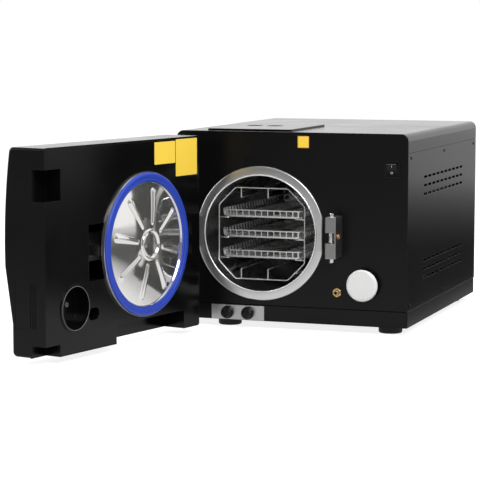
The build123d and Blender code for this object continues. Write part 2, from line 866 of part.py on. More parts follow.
loop_corners = octagon_points()
with BuildPart() as rack:
    for loop_y in (rack_y0, rack_y1):
        for start, end in zip(loop_corners, loop_corners[1:] + loop_corners[:1]):
            face, reach = add_wire((start[0], loop_y, start[1]), (end[0], loop_y, end[1]))
            extrude(face, amount=reach)
        with Locations(*[(x, loop_y, z) for x, z in loop_corners]):
            Sphere(wire / 2)
    for x_side in (-1, 1):
        for z_side in (-1, 1):
            x = chamber_x + x_side * stringer_x
            z = rack_z + z_side * stringer_z
            face, reach = add_wire((x, rack_y0 - wire / 2, z), (x, rack_y1 + wire / 2, z))
            extrude(face, amount=reach)
    for z in side_guides:
        for side in (-1, 1):
            outer_x = chamber_x + side * rack_half_width
            inner_x = chamber_x + side * (rack_half_width - guide_reach)
            for loop_y in (rack_y0, rack_y1):
                face, reach = add_wire((outer_x, loop_y, z), (inner_x, loop_y, z))
                extrude(face, amount=reach)
            face, reach = add_wire((inner_x, rack_y0, z), (inner_x, rack_y1, z))
            extrude(face, amount=reach)
    for x_offset in cross_guides:
        for side in (-1, 1):
            outer_z = rack_z + side * rack_half_height
            inner_z = rack_z + side * (rack_half_height - guide_reach)
            x = chamber_x + x_offset
            for loop_y in (rack_y0, rack_y1):
                face, reach = add_wire((x, loop_y, outer_z), (x, loop_y, inner_z))
                extrude(face, amount=reach)
            face, reach = add_wire((x, rack_y0, inner_z), (x, rack_y1, inner_z))
            extrude(face, amount=reach)

# Trays: pressed dishes with slotted walls and floors
tray_y0 = front_y + tray_start
tray_middle_y = tray_y0 + tray_length / 2
front_slot_pitch = (tray_width - 2 * tray_corner) / front_slots
side_slot_pitch = (tray_length - 2 * tray_corner) / side_slots
tray_draft = degrees(atan2(tray_flare, tray_height))
wall_slot_z = tray_height / 2 + 0.5
tray_layers = [
    (tray_flare, tray_height, Mode.ADD),
    (tray_flare + tray_sheet, tray_height, Mode.SUBTRACT),
    (tray_flare, tray_sheet, Mode.ADD),
]


def slotted_tray(floor):
    """One tray: a flared dish with round corners, slots in its walls and rows of slots in its floor."""
    with BuildPart() as tray:
        for inset, height, mode in tray_layers:
            with BuildSketch(level(floor)):
                with Locations((chamber_x, tray_middle_y)):
                    RectangleRounded(
                        tray_width - 2 * inset, tray_length - 2 * inset, tray_corner - inset
                    )
            extrude(amount=height, taper=-tray_draft, mode=mode)
        with BuildSketch(facing(tray_y0 + tray_length)):
            with Locations((chamber_x, floor + wall_slot_z)):
                with GridLocations(front_slot_pitch, 0, front_slots, 1):
                    Rectangle(front_slot_width, wall_slot_height)
        extrude(amount=tray_length, mode=Mode.SUBTRACT)
        with BuildSketch(side_on(chamber_x - tray_width / 2)):
            with Locations((tray_middle_y, floor + wall_slot_z)):
                with GridLocations(side_slot_pitch, 0, side_slots, 1):
                    Rectangle(side_slot_width, wall_slot_height)
        extrude(amount=tray_width, mode=Mode.SUBTRACT)
        with BuildSketch(level(floor + wall_slot_z - wall_slot_height / 2)):
            for x_side, y_side, first_angle in ((1, 1, 15), (-1, 1, 105), (-1, -1, 195), (1, -1, 285)):
                x = chamber_x + x_side * (tray_width / 2 - tray_corner)
                y = tray_middle_y + y_side * (tray_length / 2 - tray_corner)
                with Locations((x, y)):
                    with PolarLocations(tray_corner, corner_slots, first_angle, 90):
                        Rectangle(8, corner_slot_width)
        extrude(amount=wall_slot_height, mode=Mode.SUBTRACT)
        with BuildSketch(level(floor)):
            with Locations((chamber_x, tray_middle_y)):
                with GridLocations(tray_width / 2 - 8, (tray_length - 30) / floor_slots, 2, floor_slots):
                    SlotOverall(tray_width / 2 - 24, floor_slot_width)
        extrude(amount=tray_sheet, mode=Mode.SUBTRACT)
    return tray


tray_floors = [tray_first_floor + n * tray_pitch for n in range(tray_count)]
tray_bottom = slotted_tray(tray_floors[0])
tray_middle = slotted_tray(tray_floors[1])
tray_top = slotted_tray(tray_floors[2])

# Door mouldings
switch_notch_height = 60.0
switch_notch_z0 = switch_z - 34.0
outer_notches = {
    "upper": (door_x1 - 50.0, switch_notch_z0, switch_notch_z0 + switch_notch_height),
    "lower": (door_x1 - 45.0, door_z0, door_z0 + 24.0),
}
drain_notch_x0 = cabinet_x - 203.0
drain_notch_x1 = cabinet_x + 35.0
drain_notch_z = seam_z + 3.0
drain_notch_depth = 50.0
hinge_notch_x = hinge_x + hinge_block_width / 2 + 1.5
hinge_notch_height = block_height + 5.0
hinge_notch_depth = hinge_reach + hinge_block_width / 2 + 5.0 - door_gap
latch_pocket_x0 = cabinet_x + 74.0
latch_pocket_x1 = cabinet_x + 124.0
latch_pocket_height = 110.0
latch_pocket_depth = 42.0
pocket_shift = 5.0
cup_radius = 41.5
cup_depth = 28.0
slot_length = 36.0
slot_height = 24.0
disc_hole = 147.0
cover_width = 62.0
cover_height = 100.0
cover_y_middle = front_y - 59.0
cover_z_middle = 114.0
pad_x0 = cabinet_x + 40.0
pad_width = 180.0
pad_height = 110.0
pad_z = 325.0
pad_front = door_face - door_belly_depth - 2.0
key_radius = 8.0
key_spacing = 36.0
key_count = 4
key_z = pad_z - 30.0
window_width = 120.0
window_height = 44.0
window_z = pad_z + 20.0


def box_between(x0, x1, y0, y1, z0, z1, mode):
    """Rectangular block between two corners."""
    with Locations(((x0 + x1) / 2, (y0 + y1) / 2, (z0 + z1) / 2)):
        Box(x1 - x0, y1 - y0, z1 - z0, mode=mode)


def door_section(x, inset):
    """Side view of the door: flat inner face, bulged outer face that draws in towards its foot."""
    top = door_z1 - inset
    foot = door_z0 + inset
    belly_z = door_z0 + belly_height
    bend_z = door_z0 + foot_bend_height
    belly_y = door_face - door_belly_depth + inset
    top_y = door_face - door_top_depth + inset
    foot_y = door_face - door_foot_depth + inset
    with BuildSketch(side_on(x)) as section:
        with BuildLine():
            Line((door_face, top), (top_y, top))
            ThreePointArc(
                (top_y, top),
                ((top_y + belly_y) / 2 - 5.0, (top + belly_z) / 2),
                (belly_y, belly_z),
            )
            Polyline(
                (belly_y, belly_z), (foot_y, bend_z), (foot_y, foot), (door_face, foot), (door_face, top)
            )
        make_face()
        fillet(section.vertices().sort_by(Axis.X)[0], 40 - inset)
        fillet(section.vertices().group_by(Axis.Y)[-1].sort_by(Axis.X)[0], door_edge_radius - inset)
        fillet(section.vertices().group_by(Axis.Y)[0].sort_by(Axis.X)[0], door_edge_radius - inset)
    return section.sketch


# Hollow of the outer moulding: pillars are left standing in it for the inner moulding and for the arm
corner_pillars = [
    (door_x0 + 25, door_z1 - 27), (door_x0 + 28, door_z0 + 21), (cabinet_x, door_z1 - 22),
    (cabinet_x + 60, door_z0 + 18), (door_x1 - 18, door_z0 + 276), (door_x1 - 18, door_z0 + 46),
]
with BuildPart() as door_hollow:
    extrude(door_section(door_x0 + door_wall, door_wall), amount=door_width - 2 * door_wall)
    with BuildSketch(facing(door_face - door_wall)):
        with Locations(*corner_pillars):
            Circle(4.5)
    extrude(amount=door_belly_depth, mode=Mode.SUBTRACT)
    with BuildSketch(facing(hinge_y - arm_thickness / 2)):
        with Locations((chamber_x, chamber_z)):
            with GridLocations(150, 26, 2, 2):
                Circle(5.0)
    extrude(amount=door_belly_depth, mode=Mode.SUBTRACT)

with BuildPart() as door_outer_shell:
    extrude(door_section(door_x0, 0), amount=door_width)
    outer_edges = door_outer_shell.edges().filter_by(lambda e: e.center().Y < door_face - 5)
    end_edges = outer_edges.filter_by(lambda e: min(e.center().X - door_x0, door_x1 - e.center().X) < 0.1)
    fillet(end_edges, 6.0)
    with BuildSketch(facing(pad_front + 12)):
        with Locations((pad_x0 + pad_width / 2, pad_z)):
            RectangleRounded(pad_width, pad_height, 10)
    extrude(amount=12)
    add(door_hollow.part, mode=Mode.SUBTRACT)
    with BuildSketch(facing(pad_front + 16)):
        with Locations((pad_x0 + pad_width / 2, pad_z)):
            RectangleRounded(pad_width - 2 * door_wall, pad_height - 2 * door_wall, 7)
    extrude(amount=16 - door_wall, mode=Mode.SUBTRACT)
    with BuildSketch(facing(pad_front + door_wall)):
        with Locations((pad_x0 + pad_width / 2, window_z)):
            Rectangle(window_width, window_height)
        with Locations((pad_x0 + pad_width / 2, key_z)):
            with GridLocations(key_spacing, 0, key_count, 1):
                Circle(key_radius + 0.3)
    extrude(amount=door_wall, mode=Mode.SUBTRACT)
    grow = inner_wall + moulding_gap
    for notch_x, notch_z0, notch_z1 in outer_notches.values():
        box_between(
            notch_x - grow, door_x1 + 1, door_face - notch_depth - grow, door_face + 1,
            notch_z0 - grow, notch_z1 + grow, Mode.SUBTRACT,
        )
    box_between(
        drain_notch_x0 - grow, drain_notch_x1 + grow, door_face - drain_notch_depth - grow, door_face + 1,
        door_z0 - 1, drain_notch_z + grow, Mode.SUBTRACT,
    )
    box_between(
        door_x0 - 1, hinge_notch_x + grow, door_face - hinge_notch_depth, door_face + 1,
        chamber_z - hinge_notch_height / 2, chamber_z + hinge_notch_height / 2, Mode.SUBTRACT,
    )
    box_between(
        door_x1 - 2 * door_wall, door_x1 + 1,
        cover_y_middle - cover_width / 2 + 4, cover_y_middle + cover_width / 2 - 4,
        cover_z_middle - cover_height / 2 + 4, cover_z_middle + cover_height / 2 - 4, Mode.SUBTRACT,
    )

edge_inset = door_wall + moulding_gap
with BuildPart() as door_inner_shell:
    with BuildSketch(facing(door_face - door_wall)):
        with Locations(((door_x0 + door_x1) / 2, (door_z0 + door_z1) / 2)):
            Rectangle(door_width - 2 * edge_inset, door_height - 2 * edge_inset)
    extrude(amount=-door_wall)
    for notch_x, notch_z0, notch_z1 in outer_notches.values():
        box_between(
            notch_x - inner_wall, door_x1, door_face - notch_depth - inner_wall, door_face,
            max(notch_z0 - inner_wall, door_z0), notch_z1 + inner_wall, Mode.ADD,
        )
    box_between(
        drain_notch_x0 - inner_wall, drain_notch_x1 + inner_wall, door_face - drain_notch_depth - inner_wall,
        door_face, door_z0, drain_notch_z + inner_wall, Mode.ADD,
    )
    box_between(
        latch_pocket_x0 + 10, latch_pocket_x1 + inner_wall, door_face - latch_pocket_depth, door_face,
        chamber_z - latch_pocket_height / 2 - inner_wall, chamber_z + latch_pocket_height / 2 + inner_wall,
        Mode.ADD,
    )
    with BuildSketch(facing(door_face - cup_depth - inner_wall)):
        with Locations((filter_x + pocket_shift, filter_z - 2)):
            Circle(cup_radius + inner_wall)
        with Locations((brass_x + pocket_shift, brass_z - 1)):
            SlotOverall(slot_length + 2 * inner_wall, slot_height + 2 * inner_wall)
    extrude(amount=-cup_depth - inner_wall)
    with BuildSketch(facing(door_face)):
        with Locations((filter_x + pocket_shift, filter_z - 2)):
            Circle(cup_radius + 6)
            Circle(cup_radius, mode=Mode.SUBTRACT)
    extrude(amount=-1.5)
    with BuildSketch(facing(door_face + 2)):
        with Locations((filter_x + pocket_shift, filter_z - 2)):
            Circle(cup_radius)
        with Locations((brass_x + pocket_shift, brass_z - 1)):
            SlotOverall(slot_length, slot_height)
    extrude(amount=cup_depth + 2, mode=Mode.SUBTRACT)
    with BuildSketch(facing(door_face + 1)):
        with Locations((chamber_x, chamber_z)):
            Circle(disc_hole)
        with Locations(((latch_pocket_x0 + latch_pocket_x1) / 2, chamber_z)):
            Rectangle(latch_pocket_x1 - latch_pocket_x0, latch_pocket_height)
    extrude(amount=latch_pocket_depth + 5, mode=Mode.SUBTRACT)
    for notch_x, notch_z0, notch_z1 in outer_notches.values():
        box_between(
            notch_x, door_x1 + 1, door_face - notch_depth, door_face + 1,
            notch_z0 if notch_z0 > door_z0 else door_z0 - 1, notch_z1, Mode.SUBTRACT,
        )
    box_between(
        drain_notch_x0, drain_notch_x1, door_face - drain_notch_depth, door_face + 1,
        door_z0 - 1, drain_notch_z, Mode.SUBTRACT,
    )
    box_between(
        door_x0 - 1, hinge_notch_x, door_face - 10, door_face + 1,
        chamber_z - hinge_notch_height / 2, chamber_z + hinge_notch_height / 2, Mode.SUBTRACT,
    )

# Side cover on the door's free end, with grip ridges
with BuildPart() as door_side_cover:
    with BuildSketch(side_on(door_x1 - door_wall)):
        with Locations((cover_y_middle, cover_z_middle)):
            Rectangle(cover_width - 8.6, cover_height - 8.6)
    extrude(amount=door_wall - 1.2)
    with BuildSketch(side_on(door_x1 - 1.2)):
        with Locations((cover_y_middle + 16, cover_z_middle)):
            with GridLocations(5, 0, 4, 1):
                Rectangle(1.8, cover_height - 24)
    extrude(amount=1.0)

# Door arm: a bar that turns on the hinge pin, carries the disc at its middle and the hook at its end
arm_end_x = pivot_x - arm_eye_radius - 10.0
with BuildPart() as door_arm:
    with BuildSketch(level(chamber_z - arm_thickness / 2)):
        with Locations((hinge_x, hinge_y)):
            Circle(arm_eye_radius)
            Rectangle(arm_end_x - hinge_x, arm_thickness, align=(Align.MIN, Align.CENTER))
    extrude(amount=arm_thickness)
    with BuildSketch(facing(hinge_y + arm_thickness / 2)) as arm_side:
        arm_start_x = hinge_notch_x + 8.0
        with Locations(((arm_start_x + arm_end_x) / 2, chamber_z)):
            Rectangle(arm_end_x - arm_start_x, arm_height)
        chamfer(arm_side.vertices().group_by(Axis.X)[0], 17.0)
        with Locations((chamber_x, chamber_z)):
            Circle(40)
    extrude(amount=arm_thickness)
    with BuildSketch(level(chamber_z - lug_gap / 2 - ear_thickness)):
        with Locations((pivot_x, pivot_y)):
            Circle(arm_eye_radius + 1)
            Rectangle(pivot_x - arm_end_x + 4, arm_thickness, align=(Align.MAX, Align.CENTER))
    extrude(amount=lug_gap + 2 * ear_thickness)
    with BuildSketch(level(chamber_z - lug_gap / 2)):
        with Locations((pivot_x, pivot_y)):
            Rectangle(2 * (pivot_x - arm_end_x) - 2, 2 * arm_thickness)
    extrude(amount=lug_gap, mode=Mode.SUBTRACT)
    with BuildSketch(level(chamber_z - arm_height)):
        with Locations((hinge_x, hinge_y), (pivot_x, pivot_y)):
            Circle(pin_radius + running_gap)
    extrude(amount=2 * arm_height, mode=Mode.SUBTRACT)
    with BuildSketch(facing(hinge_y + arm_thickness)):
        with Locations((chamber_x, chamber_z)):
            Circle(spindle_radius + fit_gap)
    extrude(amount=2 * arm_thickness, mode=Mode.SUBTRACT)

# Spindle that joins the pressure plate to the arm, with its collar and nut
plate_front = disc_back + 3.4
plate_back = plate_front - plate_thickness
arm_front = hinge_y + arm_thickness / 2
arm_back = hinge_y - arm_thickness / 2
with BuildPart() as door_spindle:
    with BuildSketch(facing(plate_back)):
        with Locations((chamber_x, chamber_z)):
            Circle(26)
    extrude(amount=plate_back - arm_front)
    with BuildSketch(facing(arm_front)):
        with Locations((chamber_x, chamber_z)):
            Circle(spindle_radius)
    extrude(amount=arm_thickness)
    with BuildSketch(facing(arm_back)):
        with Locations((chamber_x, chamber_z)):
            RegularPolygon(18, 6, major_radius=False)
    extrude(amount=9)

# Closure: a dished sheet on a dished pressure plate, with a channel round its edge for the seal
disc_front = plate_front + dome_gap + disc_sheet
seal_inner = seal_outer - seal_width
channel_gap = 0.3
channel_wall = disc_sheet
channel_lip = 2.6
channel_height = 8.0
channel_width = seal_width + 2 * (channel_gap + channel_wall)
disc_radius = seal_inner - channel_gap
turning_plane = Plane(origin=(chamber_x, 0, chamber_z), x_dir=(1, 0, 0), z_dir=(0, 0, 1))
turning_axis = Axis((chamber_x, 0, chamber_z), (0, 1, 0))
dome_radius = (disc_radius**2 + dome_rise**2) / (2 * dome_rise)


def dome_y(radius, drop):
    """Height of the dished face at a radius, for a face that lies a drop behind the sheet's front."""
    return disc_front + dome_rise - drop - dome_radius + sqrt(dome_radius**2 - radius**2)


def dished_face(radius, drop, back):
    """Half section from the axis out to a radius: a dished front, and a flat back at a given y."""
    with BuildSketch() as section:
        with BuildLine():
            ThreePointArc(
                (0, dome_y(0, drop)),
                (radius / 2, dome_y(radius / 2, drop)),
                (radius, dome_y(radius, drop)),
            )
            Polyline((radius, dome_y(radius, drop)), (radius, back), (0, back), (0, dome_y(0, drop)))
        make_face()
    return section.sketch


plate_section = dished_face(plate_radius, disc_sheet + dome_gap, plate_back)
with BuildPart() as pressure_plate:
    with BuildSketch(turning_plane):
        add(plate_section)
    revolve(axis=turning_axis)
    chamfer(pressure_plate.edges().group_by(Axis.Y)[0], 3)

# Pressed ribs: round-nosed, wider towards the rim, and cut off inside the dished sheet
below_middle_of_sheet = dished_face(disc_radius, disc_sheet / 2, plate_back)
with BuildPart() as disc_ribs:
    rib_slope = atan2(dome_y(rib_inner, 0) - dome_y(rib_outer, 0), rib_outer - rib_inner)
    rib_length = (rib_outer - rib_inner) / cos(rib_slope)
    for number in range(rib_count):
        turn = radians(rib_start_angle + 360 / rib_count * number)
        outward = Vector(cos(turn), 0, sin(turn))
        start = Vector(chamber_x, dome_y(rib_inner, rib_sink), chamber_z) + outward * rib_inner
        along = outward * cos(rib_slope) - Vector(0, sin(rib_slope), 0)
        with BuildSketch(Plane(origin=start, x_dir=along, z_dir=Vector(-sin(turn), 0, cos(turn)))):
            with BuildLine():
                ThreePointArc(
                    (-rib_slim_radius, 0),
                    (-rib_slim_radius * sqrt(0.5), rib_slim_radius * sqrt(0.5)),
                    (0, rib_slim_radius),
                )
                Line((0, rib_slim_radius), (rib_length, rib_wide_radius))
                ThreePointArc(
                    (rib_length, rib_wide_radius),
                    (rib_length + rib_wide_radius * sqrt(0.5), rib_wide_radius * sqrt(0.5)),
                    (rib_length + rib_wide_radius, 0),
                )
                Line((rib_length + rib_wide_radius, 0), (-rib_slim_radius, 0))
            make_face()
        revolve(axis=Axis(start, along))
    with BuildSketch(turning_plane):
        add(below_middle_of_sheet)
    revolve(axis=turning_axis, mode=Mode.SUBTRACT)

sheet_section = dished_face(disc_radius, 0, disc_back)
below_sheet = dished_face(disc_radius - channel_wall, disc_sheet, disc_back - 1)
with BuildPart() as door_disc:
    with BuildSketch(turning_plane):
        add(sheet_section)
        with Locations((hub_radius, dome_y(hub_radius, hub_bead_radius / 4))):
            Circle(hub_bead_radius)
        add(below_sheet, mode=Mode.SUBTRACT)
        with Locations((disc_radius - channel_wall, disc_back)):
            Rectangle(channel_wall, disc_front + channel_lip - disc_back, align=(Align.MIN, Align.MIN))
            Rectangle(channel_width, disc_sheet, align=(Align.MIN, Align.MIN))
        with Locations((seal_outer + channel_gap, disc_back)):
            Rectangle(channel_wall, channel_height, align=(Align.MIN, Align.MIN))
    revolve(axis=turning_axis)
    add(disc_ribs.part)

with BuildPart() as door_seal:
    with BuildSketch(turning_plane) as seal_section:
        seal_back = disc_back + disc_sheet
        with Locations((seal_inner, seal_back)):
            Rectangle(seal_width, seal_front - seal_back, align=(Align.MIN, Align.MIN))
        fillet(seal_section.vertices().group_by(Axis.Y)[-1], 3.0)
    revolve(axis=turning_axis)

# Lock motor above the arm's end, its shaft down through both ears
shaft_bottom = chamber_z - lug_gap / 2 - ear_thickness
motor_bottom = chamber_z + lug_gap / 2 + ear_thickness
with BuildPart() as lock_motor:
    with BuildSketch(level(motor_bottom)):
        with Locations((pivot_x, pivot_y)):
            RectangleRounded(38, 30, 3)
    extrude(amount=34)
    with BuildSketch(level(motor_bottom + 34)):
        with Locations((pivot_x, pivot_y)):
            Circle(14)
    extrude(amount=44)
    with BuildSketch(level(shaft_bottom)):
        with Locations((pivot_x, pivot_y)):
            Circle(pin_radius)
    extrude(amount=motor_bottom - shaft_bottom)

# Latch hook: drawn as it lies when locked, behind the latch pin, on a plane turned to the unlocked place
pin_dx = latch_x - pivot_x
pin_dy = latch_y - pivot_y
hook_clear = 0.4
stem_right = pin_dx - pin_radius - 1.0
tip_y0 = pin_dy + pin_radius + hook_clear
hook_plane = Plane(
    origin=(pivot_x, pivot_y, chamber_z - hook_thickness / 2),
    x_dir=(cos(radians(hook_angle)), sin(radians(hook_angle)), 0),
    z_dir=(0, 0, 1),
)
with BuildPart() as latch_hook:
    with BuildSketch(hook_plane):
        Circle(arm_eye_radius)
        with BuildLine():
            Polyline(
                (-8.0, 0),
                (stem_right - 10.0, tip_y0 + 9.0),
                (pin_dx + 4.0, tip_y0 + 9.0),
                (pin_dx + 4.0, tip_y0),
                (stem_right, tip_y0),
                (stem_right, 0),
                (-8.0, 0),
            )
        make_face()
        Circle(pin_radius + running_gap, mode=Mode.SUBTRACT)
    extrude(amount=hook_thickness)

# Control pad on the door's outer face: window, board and keys
pad_middle_x = pad_x0 + pad_width / 2
key_travel = 1.2
key_xs = [pad_middle_x + (n - (key_count - 1) / 2) * key_spacing for n in range(key_count)]
board_front = pad_front + 10.0
with BuildPart() as display_window:
    with BuildSketch(facing(pad_front + door_wall)):
        with Locations((pad_middle_x, window_z)):
            Rectangle(window_width - 0.6, window_height - 0.6)
    extrude(amount=door_wall - 0.5)
    with BuildSketch(facing(board_front)):
        with Locations((pad_middle_x, window_z)):
            Rectangle(window_width + 8, window_height + 8)
    extrude(amount=board_front - pad_front - door_wall)

with BuildPart() as display_board:
    with BuildSketch(facing(board_front + 1.6)):
        with Locations((pad_middle_x, pad_z)):
            RectangleRounded(pad_width - 2 * door_wall - 4, pad_height - 2 * door_wall - 4, 6)
    extrude(amount=1.6)
    with BuildSketch(facing(board_front)):
        with Locations((pad_middle_x, pad_z)):
            with GridLocations(pad_width - 22, pad_height - 22, 2, 2):
                Circle(3.5)
    extrude(amount=board_front - pad_front - door_wall)


def key(x):
    """Round key with a retaining flange that rests against the back of the pad."""
    key_back = board_front - key_travel - 0.4
    with BuildPart() as button:
        with BuildSketch(facing(key_back)):
            with Locations((x, key_z)):
                Circle(key_radius)
        extrude(amount=key_back - pad_front + 1.5)
        fillet(button.edges().group_by(Axis.Y)[0], 0.8)
        with BuildSketch(facing(key_back)):
            with Locations((x, key_z)):
                Circle(key_radius + 2)
        extrude(amount=key_back - pad_front - door_wall)
    return button


keys = [key(x) for x in key_xs]

# Panel screws along the lower edge of the side panels
screw_radius = 3.5
with BuildPart() as panel_screws:
    screw_ys = [front_y + 25, middle_y, rear_y - 25]
    with BuildSketch(side_on(right_x)):
        with Locations(*[(y, z) for y in screw_ys for z in (seam_z + 10, skirt_z - 10)]):
            Circle(screw_radius)
    extrude(amount=1.6)
    with BuildSketch(side_on(left_x)):
        with Locations(*[(y, z) for y in screw_ys for z in (seam_z + 10, skirt_z - 10)]):
            Circle(screw_radius)
    extrude(amount=-1.6)

# The door's pieces swing to the open stop
door_pieces = [
    door_outer_shell, door_inner_shell, door_side_cover, door_arm, door_spindle, pressure_plate,
    door_disc, door_seal, lock_motor, latch_hook, display_window, display_board, *keys,
]
hinge_line = Location((hinge_x, hinge_y, 0))
swing = hinge_line * Location((0, 0, 0), (0, 0, 1), -door_open_angle) * hinge_line.inverse()
for piece in door_pieces:
    piece.part.move(swing)

# Finished pieces
write(base_pan, "base_pan")
write(feet, "feet")
write(front_panel, "front_panel")
write(top_cover, "top_cover")
write(side_panel_left, "side_panel_left")
write(side_panel_right, "side_panel_right")
write(rear_panel, "rear_panel")
write(front_frame, "front_frame")
write(rear_saddle, "rear_saddle")
write(chamber_vessel, "chamber_vessel")
write(chamber_flange, "chamber_flange")
write(heater_band, "heater_band")
write(insulation_jacket, "insulation_jacket")
write(rack_rails, "rack_rails")
write(water_tank, "water_tank")
write(tank_lid, "tank_lid")
write(latch_block, "latch_block")
write(hinge_block, "hinge_block")
write(latch_pin, "latch_pin")
write(hinge_pin, "hinge_pin")
write(strike_screw, "strike_screw")
write(switch_housing, "switch_housing")
write(rocker, "rocker")
write(air_filter, "air_filter")
write(filter_port, "filter_port")
write(drain_fitting, "drain_fitting")
write(drain_plate, "drain_plate")
write(drain_valves, "drain_valves")
write(drain_knob_left, "drain_knob_left")
write(drain_knob_right, "drain_knob_right")
write(vacuum_pump, "vacuum_pump")
write(solenoid_valves, "solenoid_valves")
write(control_board, "control_board")
write(power_supply, "power_supply")
write(fan_frame, "fan_frame")
write(fan_rotor, "fan_rotor")
write(power_inlet, "power_inlet")
write(safety_valve, "safety_valve")
write(rack, "rack")
write(tray_bottom, "tray_bottom")
write(tray_middle, "tray_middle")
write(tray_top, "tray_top")
write(door_outer_shell, "door_outer_shell")
write(door_inner_shell, "door_inner_shell")
write(door_side_cover, "door_side_cover")
write(door_arm, "door_arm")
write(door_spindle, "door_spindle")
write(pressure_plate, "pressure_plate")
write(door_disc, "door_disc")
write(door_seal, "door_seal")
write(lock_motor, "lock_motor")
write(latch_hook, "latch_hook")
write(display_window, "display_window")
write(display_board, "display_board")
for number, builder in enumerate(keys, start=1):
    write(builder, f"key_{number}")
write(panel_screws, "panel_screws")
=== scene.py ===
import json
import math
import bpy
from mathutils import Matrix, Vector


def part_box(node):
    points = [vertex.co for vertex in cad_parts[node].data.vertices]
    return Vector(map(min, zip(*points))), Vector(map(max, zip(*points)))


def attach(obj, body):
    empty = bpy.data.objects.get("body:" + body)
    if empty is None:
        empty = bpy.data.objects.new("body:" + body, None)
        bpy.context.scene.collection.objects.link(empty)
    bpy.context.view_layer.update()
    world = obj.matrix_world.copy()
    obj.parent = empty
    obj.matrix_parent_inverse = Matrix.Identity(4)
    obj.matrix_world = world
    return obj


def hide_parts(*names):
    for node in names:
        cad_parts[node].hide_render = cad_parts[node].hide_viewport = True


bl_info = {
    "name": "Bench autoclave",
    "version": (1, 0, 0),
    "blender": (4, 5, 0),
    "location": "View3D > Sidebar > Autoclave",
    "description": "Dresses a bench autoclave with its door open and sets up its studio",
    "category": "Add Mesh",
}

import bmesh
import bpy
from bpy.props import FloatProperty, FloatVectorProperty, IntProperty, PointerProperty
from mathutils import Matrix, Vector

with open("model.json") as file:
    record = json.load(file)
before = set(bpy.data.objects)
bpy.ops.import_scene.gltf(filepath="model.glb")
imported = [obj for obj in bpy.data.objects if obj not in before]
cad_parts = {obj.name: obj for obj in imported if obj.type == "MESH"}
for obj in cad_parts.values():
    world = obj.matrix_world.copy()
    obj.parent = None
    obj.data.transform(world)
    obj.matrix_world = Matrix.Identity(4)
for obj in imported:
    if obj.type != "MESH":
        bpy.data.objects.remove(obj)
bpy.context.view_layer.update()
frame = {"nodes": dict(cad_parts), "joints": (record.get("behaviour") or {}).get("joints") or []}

SWING = next(joint for joint in frame["joints"] if joint["name"] == "door_swing")
HINGE = Vector(SWING["pos_m"])
SHUT_TO_OPEN = (
    Matrix.Translation(HINGE)
    @ Matrix.Rotation(math.radians(SWING["range_deg"][0]), 4, "Z")
    @ Matrix.Translation(-HINGE)
)

PANEL_LOW, PANEL_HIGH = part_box("front_panel")
FLANGE_LOW, FLANGE_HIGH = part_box("chamber_flange")
FRONT = PANEL_LOW.y
CABINET_X = (PANEL_LOW.x + PANEL_HIGH.x) / 2
CHAMBER = Vector(((FLANGE_LOW.x + FLANGE_HIGH.x) / 2, FRONT, (FLANGE_LOW.z + FLANGE_HIGH.z) / 2))

# Turns for a plate that is drawn up along Z
FACE_UP = Matrix.Identity(4)
FACE_FRONT = Matrix(((1, 0, 0, 0), (0, 0, -1, 0), (0, 1, 0, 0), (0, 0, 0, 1)))
FACE_BACK = Matrix(((-1, 0, 0, 0), (0, 0, 1, 0), (0, 1, 0, 0), (0, 0, 0, 1)))
FACE_RIGHT = Matrix(((0, 0, 1, 0), (1, 0, 0, 0), (0, 1, 0, 0), (0, 0, 0, 1)))

# Door disc and seal: radii, and places along Y with the door shut
SEAL_INNER, SEAL_OUTER = 0.126, 0.144
SEAL_FRONT, CHANNEL_BACK = FRONT - 0.0053, FRONT - 0.0168
HUB_INNER, HUB_OUTER = 0.0255, 0.0325
RIB_START, RIB_END = 0.044, 0.106
RIB_SLIM, RIB_WIDE = 0.0058, 0.0088


# Sizes and colours


def colour_property(name, description, default):
    return FloatVectorProperty(
        name=name, description=description, subtype="COLOR", size=3, min=0, max=1, default=default
    )


def length_property(name, description, default):
    return FloatProperty(name=name, description=description, unit="LENGTH", min=0, default=default)


def angle_property(name, description, degrees):
    return FloatProperty(name=name, description=description, subtype="ANGLE", default=math.radians(degrees))


class CabinetSettings(bpy.types.PropertyGroup):
    coat: colour_property("Coat", "Powder coat on the cabinet's sheets", (0.0022, 0.0022, 0.0024))
    coat_roughness: FloatProperty(name="Coat roughness", description="Roughness of the coat", default=0.16)
    vent_length: length_property("Vent length", "Length of one side vent", 0.0262)
    vent_width: length_property("Vent width", "Width of one side vent", 0.005)
    label: colour_property("Label", "Bare yellow stickers", (0.93, 0.64, 0.06))


class ChamberSettings(bpy.types.PropertyGroup):
    steel: colour_property("Steel", "Chamber and flange", (0.70, 0.70, 0.70))
    flange_radius: length_property("Flange radius", "Radius of the flange's round parts", 0.1423)
    wire_radius: length_property("Wire radius", "Radius of the rack's wires", 0.0015)
    rack_corner: length_property("Rack corner", "Cut corner of the rack's loops", 0.037)
    guide_reach: length_property("Guide reach", "How far the tray guides stand in", 0.021)
    tray_sheet: length_property("Tray sheet", "Thickness of the pressed sheet", 0.0008)
    tray_corner: length_property("Tray corner", "Corner radius of a tray's rim", 0.024)
    tray_flare: length_property("Tray flare", "How far a tray's walls lean out", 0.0022)
    front_slots: IntProperty(name="Front slots", description="Slots in a tray's front wall", default=10)
    side_slots: IntProperty(name="Side slots", description="Slots in a tray's side wall", default=20)
    floor_slots: IntProperty(name="Floor slots", description="Slots along a tray's floor", default=14)


class DoorSettings(bpy.types.PropertyGroup):
    moulding: colour_property("Moulding", "Door mouldings", (0.0026, 0.0026, 0.0028))
    seal: colour_property("Seal", "Silicone seal", (0.014, 0.050, 0.42))
    disc: colour_property("Disc", "Polished disc", (0.83, 0.82, 0.80))
    rib_height: length_property("Rib height", "Height of a pressed rib", 0.0046)
    rib_count: IntProperty(name="Ribs", description="Number of pressed ribs", default=8)
    rib_turn: angle_property("Rib turn", "Turn of the first rib", 11.5)


